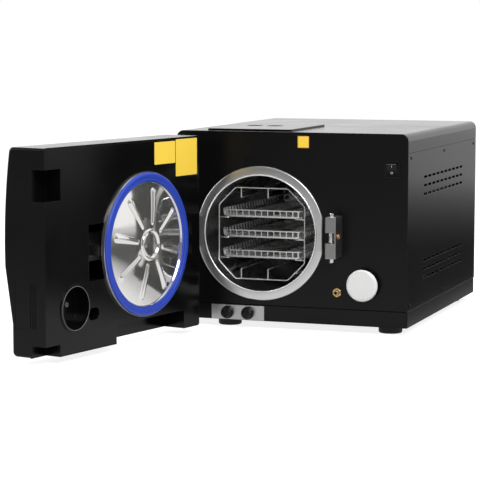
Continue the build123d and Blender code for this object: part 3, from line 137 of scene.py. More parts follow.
class StudioSettings(bpy.types.PropertyGroup):
    floor: colour_property("Floor", "Plain pale floor", (0.42, 0.42, 0.42))
    lens: FloatProperty(name="Lens", description="Focal length in millimetres", default=143.75)
    eye: FloatVectorProperty(
        name="Eye", description="Where the camera stands", subtype="TRANSLATION", size=3,
        default=(1.2398, -4.1004, 0.6264),
    )
    yaw: angle_property("Yaw", "Turn to the left", 19.96)
    pitch: angle_property("Pitch", "Downward tilt", 6.2)


class AutoclaveSettings(bpy.types.PropertyGroup):
    cabinet: PointerProperty(type=CabinetSettings)
    chamber: PointerProperty(type=ChamberSettings)
    door: PointerProperty(type=DoorSettings)
    studio: PointerProperty(type=StudioSettings)


# Shader nodes


def add_node(tree, kind, inputs=(), **settings):
    """Shader node with its settings; each input takes a value, a socket or nothing."""
    node = tree.nodes.new(f"ShaderNode{kind}")
    for name, value in settings.items():
        setattr(node, name, value)
    for name, value in dict(inputs).items():
        if isinstance(value, bpy.types.NodeSocket):
            tree.links.new(value, node.inputs[name])
        elif value is not None:
            node.inputs[name].default_value = value
    return node


def math_node(tree, operation, first, second=None, clamp=False):
    return add_node(tree, "Math", {0: first, 1: second}, operation=operation, use_clamp=clamp).outputs[0]


def vector_node(tree, operation, first, second=None):
    """Vector maths; gives the vector or, for a length or dot product, the number."""
    node = add_node(tree, "VectorMath", {0: first, 1: second}, operation=operation)
    return node.outputs["Value" if operation in {"DOT_PRODUCT", "LENGTH"} else "Vector"]


def remap(tree, value, low, high, to_low=0.0, to_high=1.0):
    ends = {"Value": value, "From Min": low, "From Max": high, "To Min": to_low, "To Max": to_high}
    return add_node(tree, "MapRange", ends).outputs["Result"]


def noise(tree, vector, scale, detail=3.0, roughness=0.5):
    values = {"Vector": vector, "Scale": scale, "Detail": detail, "Roughness": roughness}
    return add_node(tree, "TexNoise", values).outputs["Fac"]


def object_place(tree):
    return add_node(tree, "TexCoord").outputs["Object"]


def new_group(name, inputs, outputs):
    """Empty shader effect: its tree, the sockets of its inputs and those of its outputs."""
    tree = bpy.data.node_groups.new(name, "ShaderNodeTree")
    for socket, default in inputs.items():
        kind = "NodeSocketVector" if isinstance(default, tuple) else "NodeSocketFloat"
        tree.interface.new_socket(socket, in_out="INPUT", socket_type=kind).default_value = default
    for socket in outputs:
        kind = "NodeSocketVector" if socket == "Normal" else "NodeSocketFloat"
        tree.interface.new_socket(socket, in_out="OUTPUT", socket_type=kind)
    return tree, tree.nodes.new("NodeGroupInput").outputs, tree.nodes.new("NodeGroupOutput").inputs


def edge_group():
    """Rounded edges and the wear along them. The mask is 1 on a worn edge."""
    tree, ins, outs = new_group("rounded edges", {"Radius": 0.001, "Breakup": 60.0}, ("Mask", "Normal"))
    rounded = add_node(tree, "Bevel", {"Radius": ins["Radius"]}, samples=6).outputs["Normal"]
    facing = vector_node(tree, "DOT_PRODUCT", rounded, add_node(tree, "NewGeometry").outputs["Normal"])
    turned = remap(tree, facing, 0.995, 0.86)
    speckle = remap(tree, noise(tree, object_place(tree), ins["Breakup"], 5.0, 0.65), 0.42, 0.62)
    tree.links.new(math_node(tree, "MULTIPLY", turned, speckle, clamp=True), outs["Mask"])
    tree.links.new(rounded, outs["Normal"])
    return tree


def grain_group():
    """Fine grain of a coat or a moulding: a height, and a slow cloudiness for its roughness."""
    tree, ins, outs = new_group("fine grain", {"Scale": 900.0, "Cloud scale": 9.0}, ("Height", "Cloud"))
    place = object_place(tree)
    tree.links.new(noise(tree, place, ins["Scale"], 2.0, 0.6), outs["Height"])
    tree.links.new(noise(tree, place, ins["Cloud scale"], 4.0, 0.6), outs["Cloud"])
    return tree


def brushed_group():
    """Straight brush marks: noise drawn out along one axis by a stretch."""
    tree, ins, outs = new_group("brush marks", {"Stretch": (1.0, 1.0, 1.0), "Scale": 600.0}, ("Height", "Cloud"))
    place = object_place(tree)
    drawn = vector_node(tree, "MULTIPLY", place, ins["Stretch"])
    tree.links.new(noise(tree, drawn, ins["Scale"], 4.0, 0.7), outs["Height"])
    tree.links.new(noise(tree, place, 14.0), outs["Cloud"])
    return tree


def turned_group():
    """Turning marks: fine rings round an axis that runs along Y through a centre."""
    tree, ins, outs = new_group("turning marks", {"Centre": (0.0, 0.0, 0.0), "Scale": 900.0}, ("Height", "Cloud"))
    place = object_place(tree)
    arm = vector_node(tree, "SUBTRACT", place, ins["Centre"])
    reach = vector_node(tree, "LENGTH", vector_node(tree, "MULTIPLY", arm, (1.0, 0.0, 1.0)))
    rings = add_node(tree, "CombineXYZ", {"X": reach}).outputs[0]
    tree.links.new(noise(tree, rings, ins["Scale"], 3.0, 0.7), outs["Height"])
    tree.links.new(noise(tree, place, 11.0), outs["Cloud"])
    return tree


GROUPS = {}


def effect(tree, maker, inputs):
    """Places one of the shader effects with its own values; gives its outputs."""
    if maker not in GROUPS:
        GROUPS[maker] = maker()
    return add_node(tree, "Group", inputs, node_tree=GROUPS[maker]).outputs


def principled(name, colour, roughness, metallic=0.0, level=0.5):
    """New material, its tree and the inputs of its shader."""
    material = bpy.data.materials.new(name)
    material.use_nodes = True
    shader = material.node_tree.nodes["Principled BSDF"].inputs
    shader["Base Color"].default_value = (*colour, 1.0)
    shader["Roughness"].default_value = roughness
    shader["Metallic"].default_value = metallic
    shader["Specular IOR Level"].default_value = level
    return material, material.node_tree, shader


def add_surface(tree, shader, marks, height, strength, edges=None, cloud=0.0, roughness=0.0):
    """Joins a height effect and rounded edges into the normal, and clouds into the roughness."""
    inputs = {"Distance": height, "Strength": strength, "Height": marks["Height"]}
    if edges is not None:
        inputs["Normal"] = edges["Normal"]
    tree.links.new(add_node(tree, "Bump", inputs).outputs["Normal"], shader["Normal"])
    if cloud:
        rough = remap(tree, marks["Cloud"], 0.3, 0.7, roughness - cloud, roughness + cloud)
        tree.links.new(rough, shader["Roughness"])


def mix_colour(tree, shader, factor, base, other):
    """Base colour that runs from one colour to another with a mask."""
    first, second = 6, 7  # the colour mix's two colours have the same names as its numbers
    inputs = {"Factor": factor, first: (*base, 1.0), second: (*other, 1.0)}
    tree.links.new(add_node(tree, "Mix", inputs, data_type="RGBA").outputs[2], shader["Base Color"])


# Kinds of material


def powder_coat(name, colour, roughness):
    """Satin powder coat: a faint orange peel, soft clouds, and lighter edges where it has rubbed."""
    tree, shader = principled(name, colour, roughness, level=0.22)[1:]
    edges = effect(tree, edge_group, {"Radius": 0.0009, "Breakup": 80.0})
    grain = effect(tree, grain_group, {"Scale": 420.0, "Cloud scale": 6.0})
    add_surface(tree, shader, grain, 0.00006, 0.08, edges, 0.03, roughness)
    worn = [0.012 + c for c in colour]
    mix_colour(tree, shader, math_node(tree, "MULTIPLY", edges["Mask"], 0.5), colour, worn)


def moulded(name, colour, roughness, scale=1400.0, level=0.5, depth=0.00005):
    """Moulded plastic or rubber with a fine spark grain."""
    tree, shader = principled(name, colour, roughness, level=level)[1:]
    edges = effect(tree, edge_group, {"Radius": 0.0008, "Breakup": 90.0})
    grain = effect(tree, grain_group, {"Scale": scale, "Cloud scale": 8.0})
    add_surface(tree, shader, grain, depth, 0.5, edges, 0.06, roughness)
    worn = [min(1.0, c * 1.15 + 0.006) for c in colour]
    mix_colour(tree, shader, math_node(tree, "MULTIPLY", edges["Mask"], 0.6), colour, worn)


def silicone(name, colour, roughness):
    """Smooth rubber that lets a little light in."""
    tree, shader = principled(name, colour, roughness)[1:]
    grain = effect(tree, grain_group, {"Scale": 300.0, "Cloud scale": 20.0})
    add_surface(tree, shader, grain, 0.00003, 0.3, None, 0.05, roughness)
    shader["Subsurface Weight"].default_value = 0.08
    shader["Subsurface Scale"].default_value = 0.003


def brushed_metal(name, colour, roughness, stretch=(0.04, 1.0, 1.0), scale=900.0):
    """Ground or brushed metal with straight marks and brighter edges."""
    tree, shader = principled(name, colour, roughness, metallic=1.0)[1:]
    edges = effect(tree, edge_group, {"Radius": 0.0006, "Breakup": 70.0})
    marks = effect(tree, brushed_group, {"Stretch": stretch, "Scale": scale})
    add_surface(tree, shader, marks, 0.00004, 0.35, edges, 0.07, roughness)
    mix_colour(tree, shader, edges["Mask"], colour, [min(1.0, c * 1.25) for c in colour])


def turned_metal(name, colour, roughness, scale, strength):
    """Turned metal with fine rings round the chamber's axis."""
    tree, shader = principled(name, colour, roughness, metallic=1.0)[1:]
    marks = effect(tree, turned_group, {"Centre": CHAMBER, "Scale": scale})
    add_surface(tree, shader, marks, 0.00003, strength, None, 0.05, roughness)
    tint = remap(tree, marks["Height"], 0.3, 0.7)
    mix_colour(tree, shader, tint, [c * 0.88 for c in colour], [min(1.0, c * 1.08) for c in colour])


def polished_metal(name, colour, roughness, metallic=1.0, waves=160.0, height=0.00002):
    """Polished sheet or wire: clean reflections that waver a little, with haze in clouds."""
    tree, shader = principled(name, colour, roughness, metallic=metallic)[1:]
    grain = effect(tree, grain_group, {"Scale": waves, "Cloud scale": 16.0})
    add_surface(tree, shader, grain, height, 0.12, None, roughness * 0.5, roughness)


def finishes():
    """Every material by its name: its kind, its colour, its roughness, and what else that kind takes."""
    look = bpy.context.scene.autoclave
    coat, coat_roughness, steel = look.cabinet.coat, look.cabinet.coat_roughness, look.chamber.steel
    return {
        "black powder coat": (powder_coat, coat, coat_roughness),
        "duller powder coat": (powder_coat, coat, coat_roughness + 0.12),
        "grey frame paint": (powder_coat, (0.22, 0.22, 0.23), 0.5),
        "foot rubber": (moulded, (0.012, 0.012, 0.012), 0.6, 700.0),
        "heater silicone": (moulded, (0.35, 0.08, 0.03), 0.6, 800.0),
        "mineral felt": (moulded, (0.55, 0.52, 0.45), 0.95, 350.0, 0.5, 0.0006),
        "tank plastic": (moulded, (0.55, 0.56, 0.57), 0.4, 900.0),
        "port plastic": (moulded, (0.45, 0.45, 0.43), 0.45, 900.0),
        "board lacquer": (moulded, (0.015, 0.14, 0.05), 0.3, 300.0),
        "fan plastic": (moulded, (0.012, 0.012, 0.012), 0.45, 900.0),
        # Near black: a painted shadow for the seam under the front panel
        "seam gasket": (moulded, (0.0004, 0.0004, 0.0004), 0.8, 700.0, 0.05),
        "black moulding": (moulded, look.door.moulding, 0.17, 1400.0, 0.18),
        "black fitting": (moulded, (0.0035, 0.0035, 0.0037), 0.3, 500.0, 0.24),
        # Pale grey: plastic for the cup's rim bead and screw, and a painted highlight on the rocker's upper edge
        "rubbed plastic": (moulded, (0.10, 0.10, 0.10), 0.35, 600.0),
        "window front": (moulded, (0.006, 0.008, 0.011), 0.08, 200.0, 0.5, 0.00001),
        "key plastic": (moulded, (0.42, 0.43, 0.44), 0.4, 900.0),
        "white filter cap": (moulded, (0.82, 0.82, 0.81), 0.45, 260.0, 0.5, 0.0003),
        "white print": (moulded, (0.62, 0.62, 0.62), 0.5, 600.0),
        "yellow label": (moulded, look.cabinet.label, 0.5, 300.0, 0.5, 0.00002),
        "orange label edge": (moulded, (0.72, 0.33, 0.03), 0.5, 300.0, 0.5, 0.00002),
        "blue silicone": (silicone, look.door.seal, 0.38),
        "cast aluminium": (brushed_metal, (0.50, 0.50, 0.51), 0.45, (1.0, 1.0, 1.0), 500.0),
        "plated motor": (brushed_metal, (0.48, 0.48, 0.50), 0.35),
        "ground steel": (brushed_metal, (0.34, 0.335, 0.33), 0.38, (1.0, 1.0, 0.05), 700.0),
        "dark hook steel": (brushed_metal, (0.10, 0.10, 0.10), 0.36),
        "copper screw": (brushed_metal, (0.60, 0.34, 0.20), 0.5),
        "satin plate": (brushed_metal, (0.57, 0.57, 0.57), 0.36),
        "satin chamber": (turned_metal, [0.72 * c for c in steel], 0.24, 260.0, 0.12),
        "turned flange": (turned_metal, steel, 0.33, 1100.0, 0.5),
        "bright lip": (polished_metal, (0.88, 0.88, 0.87), 0.2, 0.55),
        "dull steel": (polished_metal, (0.28, 0.28, 0.28), 0.35),
        "bright steel": (polished_metal, (0.78, 0.78, 0.77), 0.16),
        "brass": (polished_metal, (0.92, 0.72, 0.42), 0.34, 0.65),
        "polished wire": (polished_metal, (0.60, 0.60, 0.59), 0.24, 0.85),
        "tray steel": (polished_metal, (0.54, 0.54, 0.53), 0.28, 0.6, 90.0, 0.0001),
        "polished disc": (polished_metal, look.door.disc, 0.08, 0.93, 28.0, 0.0006),
    }


def material_named(name):
    """The material of that name, made the first time it is asked for."""
    if name not in bpy.data.materials:
        kind, *values = finishes()[name]
        kind(name, *values)
    return bpy.data.materials[name]


# Mesh helpers


def as_mesh(name, bm):
    """Mesh with a bmesh's shape; the bmesh is freed."""
    data = bpy.data.meshes.new(name)
    bm.to_mesh(data)
    bm.free()
    return data


def new_object(name, data):
    obj = bpy.data.objects.new(name, data)
    bpy.context.scene.collection.objects.link(obj)
    return obj


def finish_piece(name, bm, body, finish, slot, *nodes, angle=35.0):
    """Makes a piece of a bmesh: smooth shading with sharp creases, its place and its body; the slot argument is not
    used.
    """
    data = as_mesh(name, bm)
    if body == "door":
        data.transform(SHUT_TO_OPEN)
    data.shade_smooth()
    data.set_sharp_from_angle(angle=math.radians(angle))
    data.materials.append(material_named(finish))
    obj = new_object(name, data)
    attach(obj, body)
    if nodes:
        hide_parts(*nodes)


def dress(finish, *nodes):
    """Gives CAD nodes a better material and leaves their meshes alone."""
    material = material_named(finish)
    for node in nodes:
        obj = frame["nodes"][node]
        for slot in obj.material_slots:
            slot.material = material
        if not obj.material_slots:
            obj.data.materials.append(material)


def spread(middle, count, pitch):
    """Evenly spaced places round a middle."""
    return [middle + (number - (count - 1) / 2) * pitch for number in range(count)]


def profile_at(radius, y, *points):
    """Points of a profile, each given as its offset from a radius and a Y."""
    return [(radius + out, y + back) for out, back in points]


def bead_profile(radius, y, half, steps):
    """Round profile of a bead."""
    turns = [2 * math.pi * step / steps for step in range(steps)]
    return profile_at(radius, y, *((half * math.cos(turn), half * math.sin(turn)) for turn in turns))


def spun(profile, axis_point, steps, closed=True):
    """Solid of revolution about an axis that runs along Y: profile as (radius, y) in metres."""
    bm = bmesh.new()
    verts = [bm.verts.new(axis_point + Vector((r, y - axis_point.y, 0))) for r, y in profile]
    pairs = list(zip(verts, verts[1:]))
    if closed:
        pairs.append((verts[-1], verts[0]))
    edges = [bm.edges.new(pair) for pair in pairs]
    bmesh.ops.spin(
        bm, geom=verts + edges, cent=axis_point, axis=(0, 1, 0), angle=2 * math.pi, steps=steps, use_merge=True
    )
    bmesh.ops.remove_doubles(bm, verts=bm.verts, dist=1e-6)
    bmesh.ops.recalc_face_normals(bm, faces=bm.faces)
    return bm


def rounded_plate(width, height, radius, depth, segments=6):
    """Rounded rectangle in X and Y round the origin, drawn up along Z by a depth."""
    bm = bmesh.new()
    bmesh.ops.create_grid(bm, x_segments=1, y_segments=1, size=0.5)
    bmesh.ops.scale(bm, vec=(width, height, 1), verts=bm.verts)
    if radius:
        bmesh.ops.bevel(
            bm, geom=bm.verts[:], offset=radius, offset_type="OFFSET", segments=segments,
            profile=0.5, affect="VERTICES", material=-1,
        )
    pulled = bmesh.ops.extrude_face_region(bm, geom=bm.faces[:])
    top = [v for v in pulled["geom"] if isinstance(v, bmesh.types.BMVert)]
    bmesh.ops.translate(bm, verts=top, vec=(0, 0, depth))
    bmesh.ops.recalc_face_normals(bm, faces=bm.faces)
    return bm


def moved(bm, place):
    bmesh.ops.transform(bm, matrix=place, verts=bm.verts)
    return bm


def shift(x, y, z):
    return Matrix.Translation((x, y, z))


def plate_at(facing, place, *size):
    """Rounded plate set at a place and turned one way; its size is as in rounded_plate."""
    return moved(rounded_plate(*size), shift(*place) @ facing)


def bar(segments, foot, top, depth, middle):
    """Straight or tapered bar up along Z: the radii of its ends, its depth and its middle height."""
    bm = bmesh.new()
    bmesh.ops.create_cone(bm, cap_ends=True, segments=segments, radius1=foot, radius2=top, depth=depth)
    bmesh.ops.translate(bm, verts=bm.verts, vec=(0, 0, middle))
    return bm


def rod(radius, low, high):
    """Round bar up along Z between two heights, with its ends eased."""
    bm = bar(40, radius, radius, high - low, (high + low) / 2)
    ends = [edge for edge in bm.edges if abs(edge.verts[0].co.z - edge.verts[1].co.z) < 1e-7]
    bmesh.ops.bevel(bm, geom=ends, offset=0.0006, offset_type="OFFSET", segments=2, profile=0.5,
                    affect="EDGES", material=-1)
    return bm


def hexagon(across, height, chamfer):
    """Hexagonal head drawn up along Z, with the corners of its top turned down."""
    corner = across / math.sqrt(3)
    cone = bar(48, corner + height - chamfer, across / 2 - chamfer * 0.4, height * 1.002, height / 2)
    return carved(bar(6, corner, corner, height, height / 2), cone, "INTERSECT")


def trimmed(bm, point, outward):
    """Cuts off what lies beyond a plane and closes the cut."""
    cut = bmesh.ops.bisect_plane(
        bm, geom=bm.verts[:] + bm.edges[:] + bm.faces[:], plane_co=point, plane_no=outward, clear_outer=True
    )
    edges = [item for item in cut["geom_cut"] if isinstance(item, bmesh.types.BMEdge)]
    bmesh.ops.holes_fill(bm, edges=edges, sides=0)


def closed_box(node):
    """Lowest and highest corners that a door node has when the door is shut."""
    back = SHUT_TO_OPEN.inverted()
    points = [back @ vert.co for vert in frame["nodes"][node].data.vertices]
    return [Vector([pick(point[axis] for point in points) for axis in range(3)]) for pick in (min, max)]


def joined(parts):
    """One bmesh from several, which are freed."""
    whole = bmesh.new()
    for part in parts:
        data = as_mesh("part", part)
        whole.from_mesh(data)
        bpy.data.meshes.remove(data)
    return whole


def baked(obj):
    """The object's mesh with its modifiers applied, as a bmesh; the object is removed."""
    bpy.context.view_layer.update()
    shaped = obj.evaluated_get(bpy.context.evaluated_depsgraph_get())
    data = bpy.data.meshes.new_from_object(shaped)
    bm = bmesh.new()
    bm.from_mesh(data)
    bpy.data.meshes.remove(data)
    bpy.data.objects.remove(obj)
    return bm


def carved(solid, tool, operation="DIFFERENCE"):
    """The solid less the tool, or what else the operation makes of both."""
    target, cutter = (new_object("temporary", as_mesh("temporary", bm)) for bm in (solid, tool))
    cut = target.modifiers.new("cut", "BOOLEAN")
    cut.operation = operation
    cut.solver = "EXACT"
    cut.object = cutter
    shaped = baked(target)
    bpy.data.objects.remove(cutter)
    return shaped


def tubes(runs, radius):
    """Round wires along runs of points; each run is (points, closed)."""
    curve = bpy.data.curves.new("wire", "CURVE")
    curve.dimensions = "3D"
    curve.bevel_depth = radius
    curve.bevel_resolution = 3
    curve.use_fill_caps = True
    for points, closed in runs:
        spline = curve.splines.new("POLY")
        spline.points.add(len(points) - 1)
        for place, point in zip(spline.points, points):
            place.co = (*point, 1.0)
        spline.use_cyclic_u = closed
    return baked(new_object("wire", curve))


def rounded_run(points, radius, closed):
    """A run of points whose corners are eased round with a small bend of four steps."""
    eased = []
    count = len(points)
    for index, here in enumerate(points):
        if not closed and index in (0, count - 1):
            eased.append(here)
            continue
        start, end = (
            here + (beside - here).normalized() * radius
            for beside in (points[index - 1], points[(index + 1) % count])
        )
        for t in (0.0, 0.25, 0.5, 0.75, 1.0):
            eased.append(start.lerp(here, t).lerp(here.lerp(end, t), t))
    return eased


# Shapes of the pieces


def vent_cutters(look, x):
    """Two groups of three rows of vents, through a side panel whose middle is at x."""
    first_column, column_pitch, row_pitch = FRONT + 0.144, 0.0355, 0.0182
    return joined(
        plate_at(FACE_RIGHT, (x - 0.005, first_column + column * column_pitch, z),
                 look.vent_length, look.vent_width, look.vent_width * 0.499, 0.01, 5)
        for group in (0.303, 0.1253) for z in spread(group, 3, row_pitch) for column in range(10)
    )


def chamber_pot(front, back, outer):
    """Vessel with a round back corner and an eased lip."""
    wall, bend, ease = 0.0025, 0.036, 0.0016
    inner = outer - wall
    quarter = [math.pi / 2 * step / 8 for step in range(1, 9)]
    inside, outside = (
        profile_at(outer - bend, back - bend, *((size * math.cos(turn), size * math.sin(turn)) for turn in quarter))
        for size in (bend - wall, bend)
    )
    turns = [math.pi / 2 * step / 5 for step in range(6)]
    lip = profile_at(inner + ease, front + ease, *((-ease * math.sin(t), -ease * math.cos(t)) for t in turns))
    profile = [(0.0, back - wall), *inside[::-1], (inner, back - bend), *lip[::-1], (outer - 0.0005, front + 0.0002),
               (outer, front + 0.0008), (outer, back - bend), *outside, (0.0, back)]
    return spun(profile, CHAMBER, 192, closed=False)


def flange_ring(out, bore):
    """Ring with a chamfered outer edge, cut flat at both sides with the same chamfer."""
    face, back = FLANGE_LOW.y, FLANGE_HIGH.y
    profile = [(bore, back), *profile_at(bore, face, (0, 0.0006), (0.0006, 0)),
               *profile_at(out, face, (-0.0022, 0), (-0.0010, 0.0004), (-0.0003, 0.0011), (0, 0.0024)), (out, back)]
    ring = spun(profile, CHAMBER, 192)
    for side in (-1, 1):
        flat = CHAMBER.x + side * (FLANGE_HIGH.x - FLANGE_LOW.x) / 2
        trimmed(ring, Vector((flat, FRONT, CHAMBER.z)), Vector((side, 0, 0)))
        trimmed(ring, Vector((flat, face + 0.0020, CHAMBER.z)), Vector((side, -1, 0)).normalized())
    return ring


def rack_wires(look):
    """Runs of the rack's wires: two cut-cornered loops, four stringers and ten bent guides."""
    low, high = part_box("rack")
    middle = (low + high) / 2
    wire, corner, inset = look.wire_radius, look.rack_corner, look.guide_reach
    half_width, half_height = (high.x - low.x) / 2 - wire, (high.z - low.z) / 2 - wire
    flat_x, flat_z = half_width - corner, half_height - corner
    front, back = low.y + wire, high.y - wire

    def guide(x, z, inward):
        """Wire that turns in from the front loop, runs back and turns out to the rear loop."""
        bends = ((front, 0), (front, inset), (back, inset), (back, 0))
        return rounded_run([Vector((x, y, z)) + inward * reach for y, reach in bends], 0.003, False), False

    corners = [(half_width, -flat_z), (half_width, flat_z), (flat_x, half_height), (-flat_x, half_height)]
    corners += [(-x, -z) for x, z in corners]
    runs = []
    for y in (front, back):
        loop = [Vector((middle.x + x, y, middle.z + z)) for x, z in corners]
        runs.append((rounded_run(loop, 0.004, True), True))
    stringer_in = corner / 2 - 0.0018
    for x in (-1, 1):
        for z in (-1, 1):
            runs.append(([Vector((middle.x + x * (half_width - stringer_in), y,
                                  middle.z + z * (half_height - stringer_in)))
                          for y in (front - wire, back + wire)], False))
    for side in (-1, 1):
        for tray in ("tray_bottom", "tray_middle", "tray_top"):
            runs.append(guide(middle.x + side * half_width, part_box(tray)[0].z - wire, Vector((-side, 0, 0))))
        for across in (-0.0455, 0.0145):
            runs.append(guide(middle.x + across, middle.z + side * half_height, Vector((0, 0, -side))))
    return runs


def pressed_tray(look, low, high):
    """Tray with leaning windowed walls, a slotted floor, a folded rim and upright teeth."""
    middle = (low + high) / 2
    width, length, height = high - low
    flare, rim_radius = look.tray_flare, 0.0007
    foot_width, foot_length = width - 2 * flare, length - 2 * flare
    shell = rounded_plate(foot_width, foot_length, look.tray_corner - flare, height, 8)
    bmesh.ops.delete(shell, geom=[f for f in shell.faces if f.normal.z > 0.9], context="FACES_ONLY")
    for vert in shell.verts:
        if vert.co.z > height / 2:
            vert.co.x *= width / foot_width
            vert.co.y *= length / foot_length
    shell.normal_update()
    bmesh.ops.solidify(shell, geom=shell.faces[:], thickness=look.tray_sheet)
    bmesh.ops.recalc_face_normals(shell, faces=shell.faces)
    moved(shell, shift(middle.x, middle.y, low.z))
    shell = carved(shell, joined(tray_cutters(look, low, high)))

    rim = rounded_plate(width - 2 * rim_radius, length - 2 * rim_radius, look.tray_corner, 0.001, 8)
    outline = sorted((v.co.copy() for v in rim.verts if v.co.z < 1e-6), key=lambda p: math.atan2(p.y, p.x))
    rim.free()
    path = [Vector((middle.x + p.x, middle.y + p.y, high.z - rim_radius)) for p in outline]
    return joined([shell, tubes([(path, True)], rim_radius), tubes(tray_teeth(look, low, high), 0.0013)])


def tray_teeth(look, low, high):
    """Upright rounded teeth that stiffen the side walls between their windows."""
    middle = (low + high) / 2
    top = (high.x - low.x) / 2 - 0.0014
    pitch = (high.y - low.y - 2 * look.tray_corner) / look.side_slots
    runs = []
    for y in spread(middle.y, look.side_slots + 1, pitch):
        for side in (-1, 1):
            ends = ((top - look.tray_flare, low.z + 0.0016), (top, high.z - 0.0002))
            runs.append(([Vector((middle.x + side * reach, y, z)) for reach, z in ends], False))
    return runs


def tray_cutters(look, low, high):
    """Cutters for the windows in the walls and corners and the slots in the floor."""
    middle = (low + high) / 2
    width, length, height = high - low
    inset = look.tray_corner
    sill = low.z + height / 2 + 0.0005
    window = (0.0012, 0.010, 2)  # corner radius, depth and steps of a window
    cutters = []
    for x in spread(middle.x, look.front_slots, (width - 2 * inset) / look.front_slots):
        for y in (low.y, high.y):
            cutters.append(plate_at(FACE_FRONT, (x, y + 0.005, sill), 0.0120, 0.0104, *window))
    for y in spread(middle.y, look.side_slots, (length - 2 * inset) / look.side_slots):
        for x in (low.x, high.x):
            cutters.append(plate_at(FACE_RIGHT, (x - 0.005, y, sill), 0.0130, 0.0110, *window))
    for across, along, start in ((1, 1, 0), (-1, 1, 90), (-1, -1, 180), (1, -1, 270)):
        centre = (middle.x + across * (width / 2 - inset), middle.y + along * (length / 2 - inset), sill)
        for turn in (15, 45, 75):
            spoke = Matrix.Rotation(math.radians(start + turn), 4, "Z") @ shift(inset - 0.006, 0, 0)
            cutters.append(plate_at(spoke @ FACE_RIGHT, centre, 0.0090, 0.0104, *window))
    for y in spread(middle.y, look.floor_slots, (length - 0.03) / look.floor_slots):
        for side in (-1, 1):
            cutters.append(plate_at(FACE_UP, (middle.x + side * (width / 4 - 0.004), y, low.z - 0.004),
                                    width / 2 - 0.024, 0.009, 0.0044, 0.008, 4))
    return cutters


def ridged_cover():
    """Door's side cover, with four grooves down it."""
    low, high = closed_box("door_side_cover")
    size, middle = high - low, (low + high) / 2
    plate = plate_at(FACE_RIGHT, (low.x, middle.y, middle.z), size.y, size.z, 0.003, size.x)
    grooves = [
        plate_at(FACE_RIGHT, (high.x - 0.0012, high.y - 0.0045 - number * 0.0042, middle.z),
                 0.0016, size.z - 0.006, 0.0007, 0.004, 3)
        for number in range(4)
    ]
    return carved(plate, joined(grooves))


def pressed_disc(look):
    """Dished sheet: fine rings are spun, and then pressed into hub and ribs."""
    sheet, dome, rings = FRONT - 0.0118, 0.0108, 110
    edge = SEAL_INNER - 0.0003
    flat = edge - 0.0016
    profile = [(r, sheet + dome * (1 - (r / edge) ** 2)) for r in (flat * ring / rings for ring in range(rings + 1))]
    profile += profile_at(edge, sheet, (-0.0015, 0.0020), (-0.0011, 0.0026), (-0.0004, 0.0026), (0, 0.0020))
    profile += profile_at(edge, CHANNEL_BACK, (0, 0.0015))
    profile += profile_at(SEAL_OUTER, CHANNEL_BACK, (0.0003, 0.0015), (0.0003, 0.0074), (0.0007, 0.0080),
                          (0.0014, 0.0080), (0.0018, 0.0072), (0.0018, 0))
    profile += [(edge - 0.0015, CHANNEL_BACK), (edge - 0.0015, sheet - 0.0016), (0.0, sheet - 0.0016)]
    bm = spun(profile, CHAMBER, 420, closed=False)
    for vert in bm.verts:
        arm = vert.co - CHAMBER
        r = math.hypot(arm.x, arm.z)
        if vert.co.y > sheet - 0.001 and r < flat:
            vert.co.y += pressing(look, arm, r)
    return bm


def pressing(look, arm, r):
    """Height that the press leaves at one point: hub ring, sunk middle and tapering ribs."""
    hub, sunk_edge = (HUB_INNER + HUB_OUTER) / 2, 0.004
    height = 0.0028 * swell(abs(r - hub) / (HUB_OUTER - hub))
    if r < HUB_INNER:
        return height - 0.0012 * (1 - swell(max(0.0, (r - HUB_INNER + sunk_edge) / sunk_edge)))
    pitch = 2 * math.pi / look.rib_count
    turn = (math.atan2(arm.z, arm.x) - look.rib_turn + pitch / 2) % pitch - pitch / 2
    along, aside = r * math.cos(turn), r * math.sin(turn)
    share = min(1.0, max(0.0, (along - RIB_START) / (RIB_END - RIB_START)))
    nearest = RIB_START + share * (RIB_END - RIB_START)
    width = RIB_SLIM + share * (RIB_WIDE - RIB_SLIM)
    rise = look.rib_height * (0.65 + 0.35 * share)
    return height + rise * swell(math.hypot(along - nearest, aside) / width)


def swell(across):
    """Round-topped swelling with an eased foot: 1 at the middle, 0 from 1 outwards."""
    return 0.0 if across >= 1.0 else (0.5 + 0.5 * math.cos(math.pi * across)) ** 0.8


def seal_ring():
    """Seal with a lip round its inner edge and a round outer shoulder."""
    back = CHANNEL_BACK + 0.0015
    lip = profile_at(SEAL_INNER, SEAL_FRONT, (0, -0.0030), (0.0005, -0.0018), (0.0018, -0.0011), (0.0052, -0.0010),
                     (0.0060, -0.0015), (0.0066, -0.0015), (0.0074, -0.0005), (0.0090, 0))
    shoulder = profile_at(SEAL_OUTER, SEAL_FRONT, (-0.0028, 0), (-0.0012, -0.0006), (-0.0003, -0.0018), (0, -0.0034))
    return spun([(SEAL_INNER, back), *lip, *shoulder, (SEAL_OUTER, back)], CHAMBER, 192)


def bolted_pin(node, block):
    """Pin with a hexagonal head above its block and a nut below."""
    across, chamfer = 0.0115, 0.0010
    low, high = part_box(node)
    block_low, block_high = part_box(block)
    middle = (low + high) / 2
    head = moved(hexagon(across, high.z - block_high.z, chamfer), shift(0, 0, block_high.z))
    nut = moved(hexagon(across, block_low.z - low.z, chamfer),
                shift(0, 0, block_low.z) @ Matrix.Rotation(math.pi, 4, "X"))
    pin = joined([rod(0.00498, low.z + 0.0004, high.z - 0.0008), head, nut])
    return moved(pin, shift(middle.x, middle.y, 0))


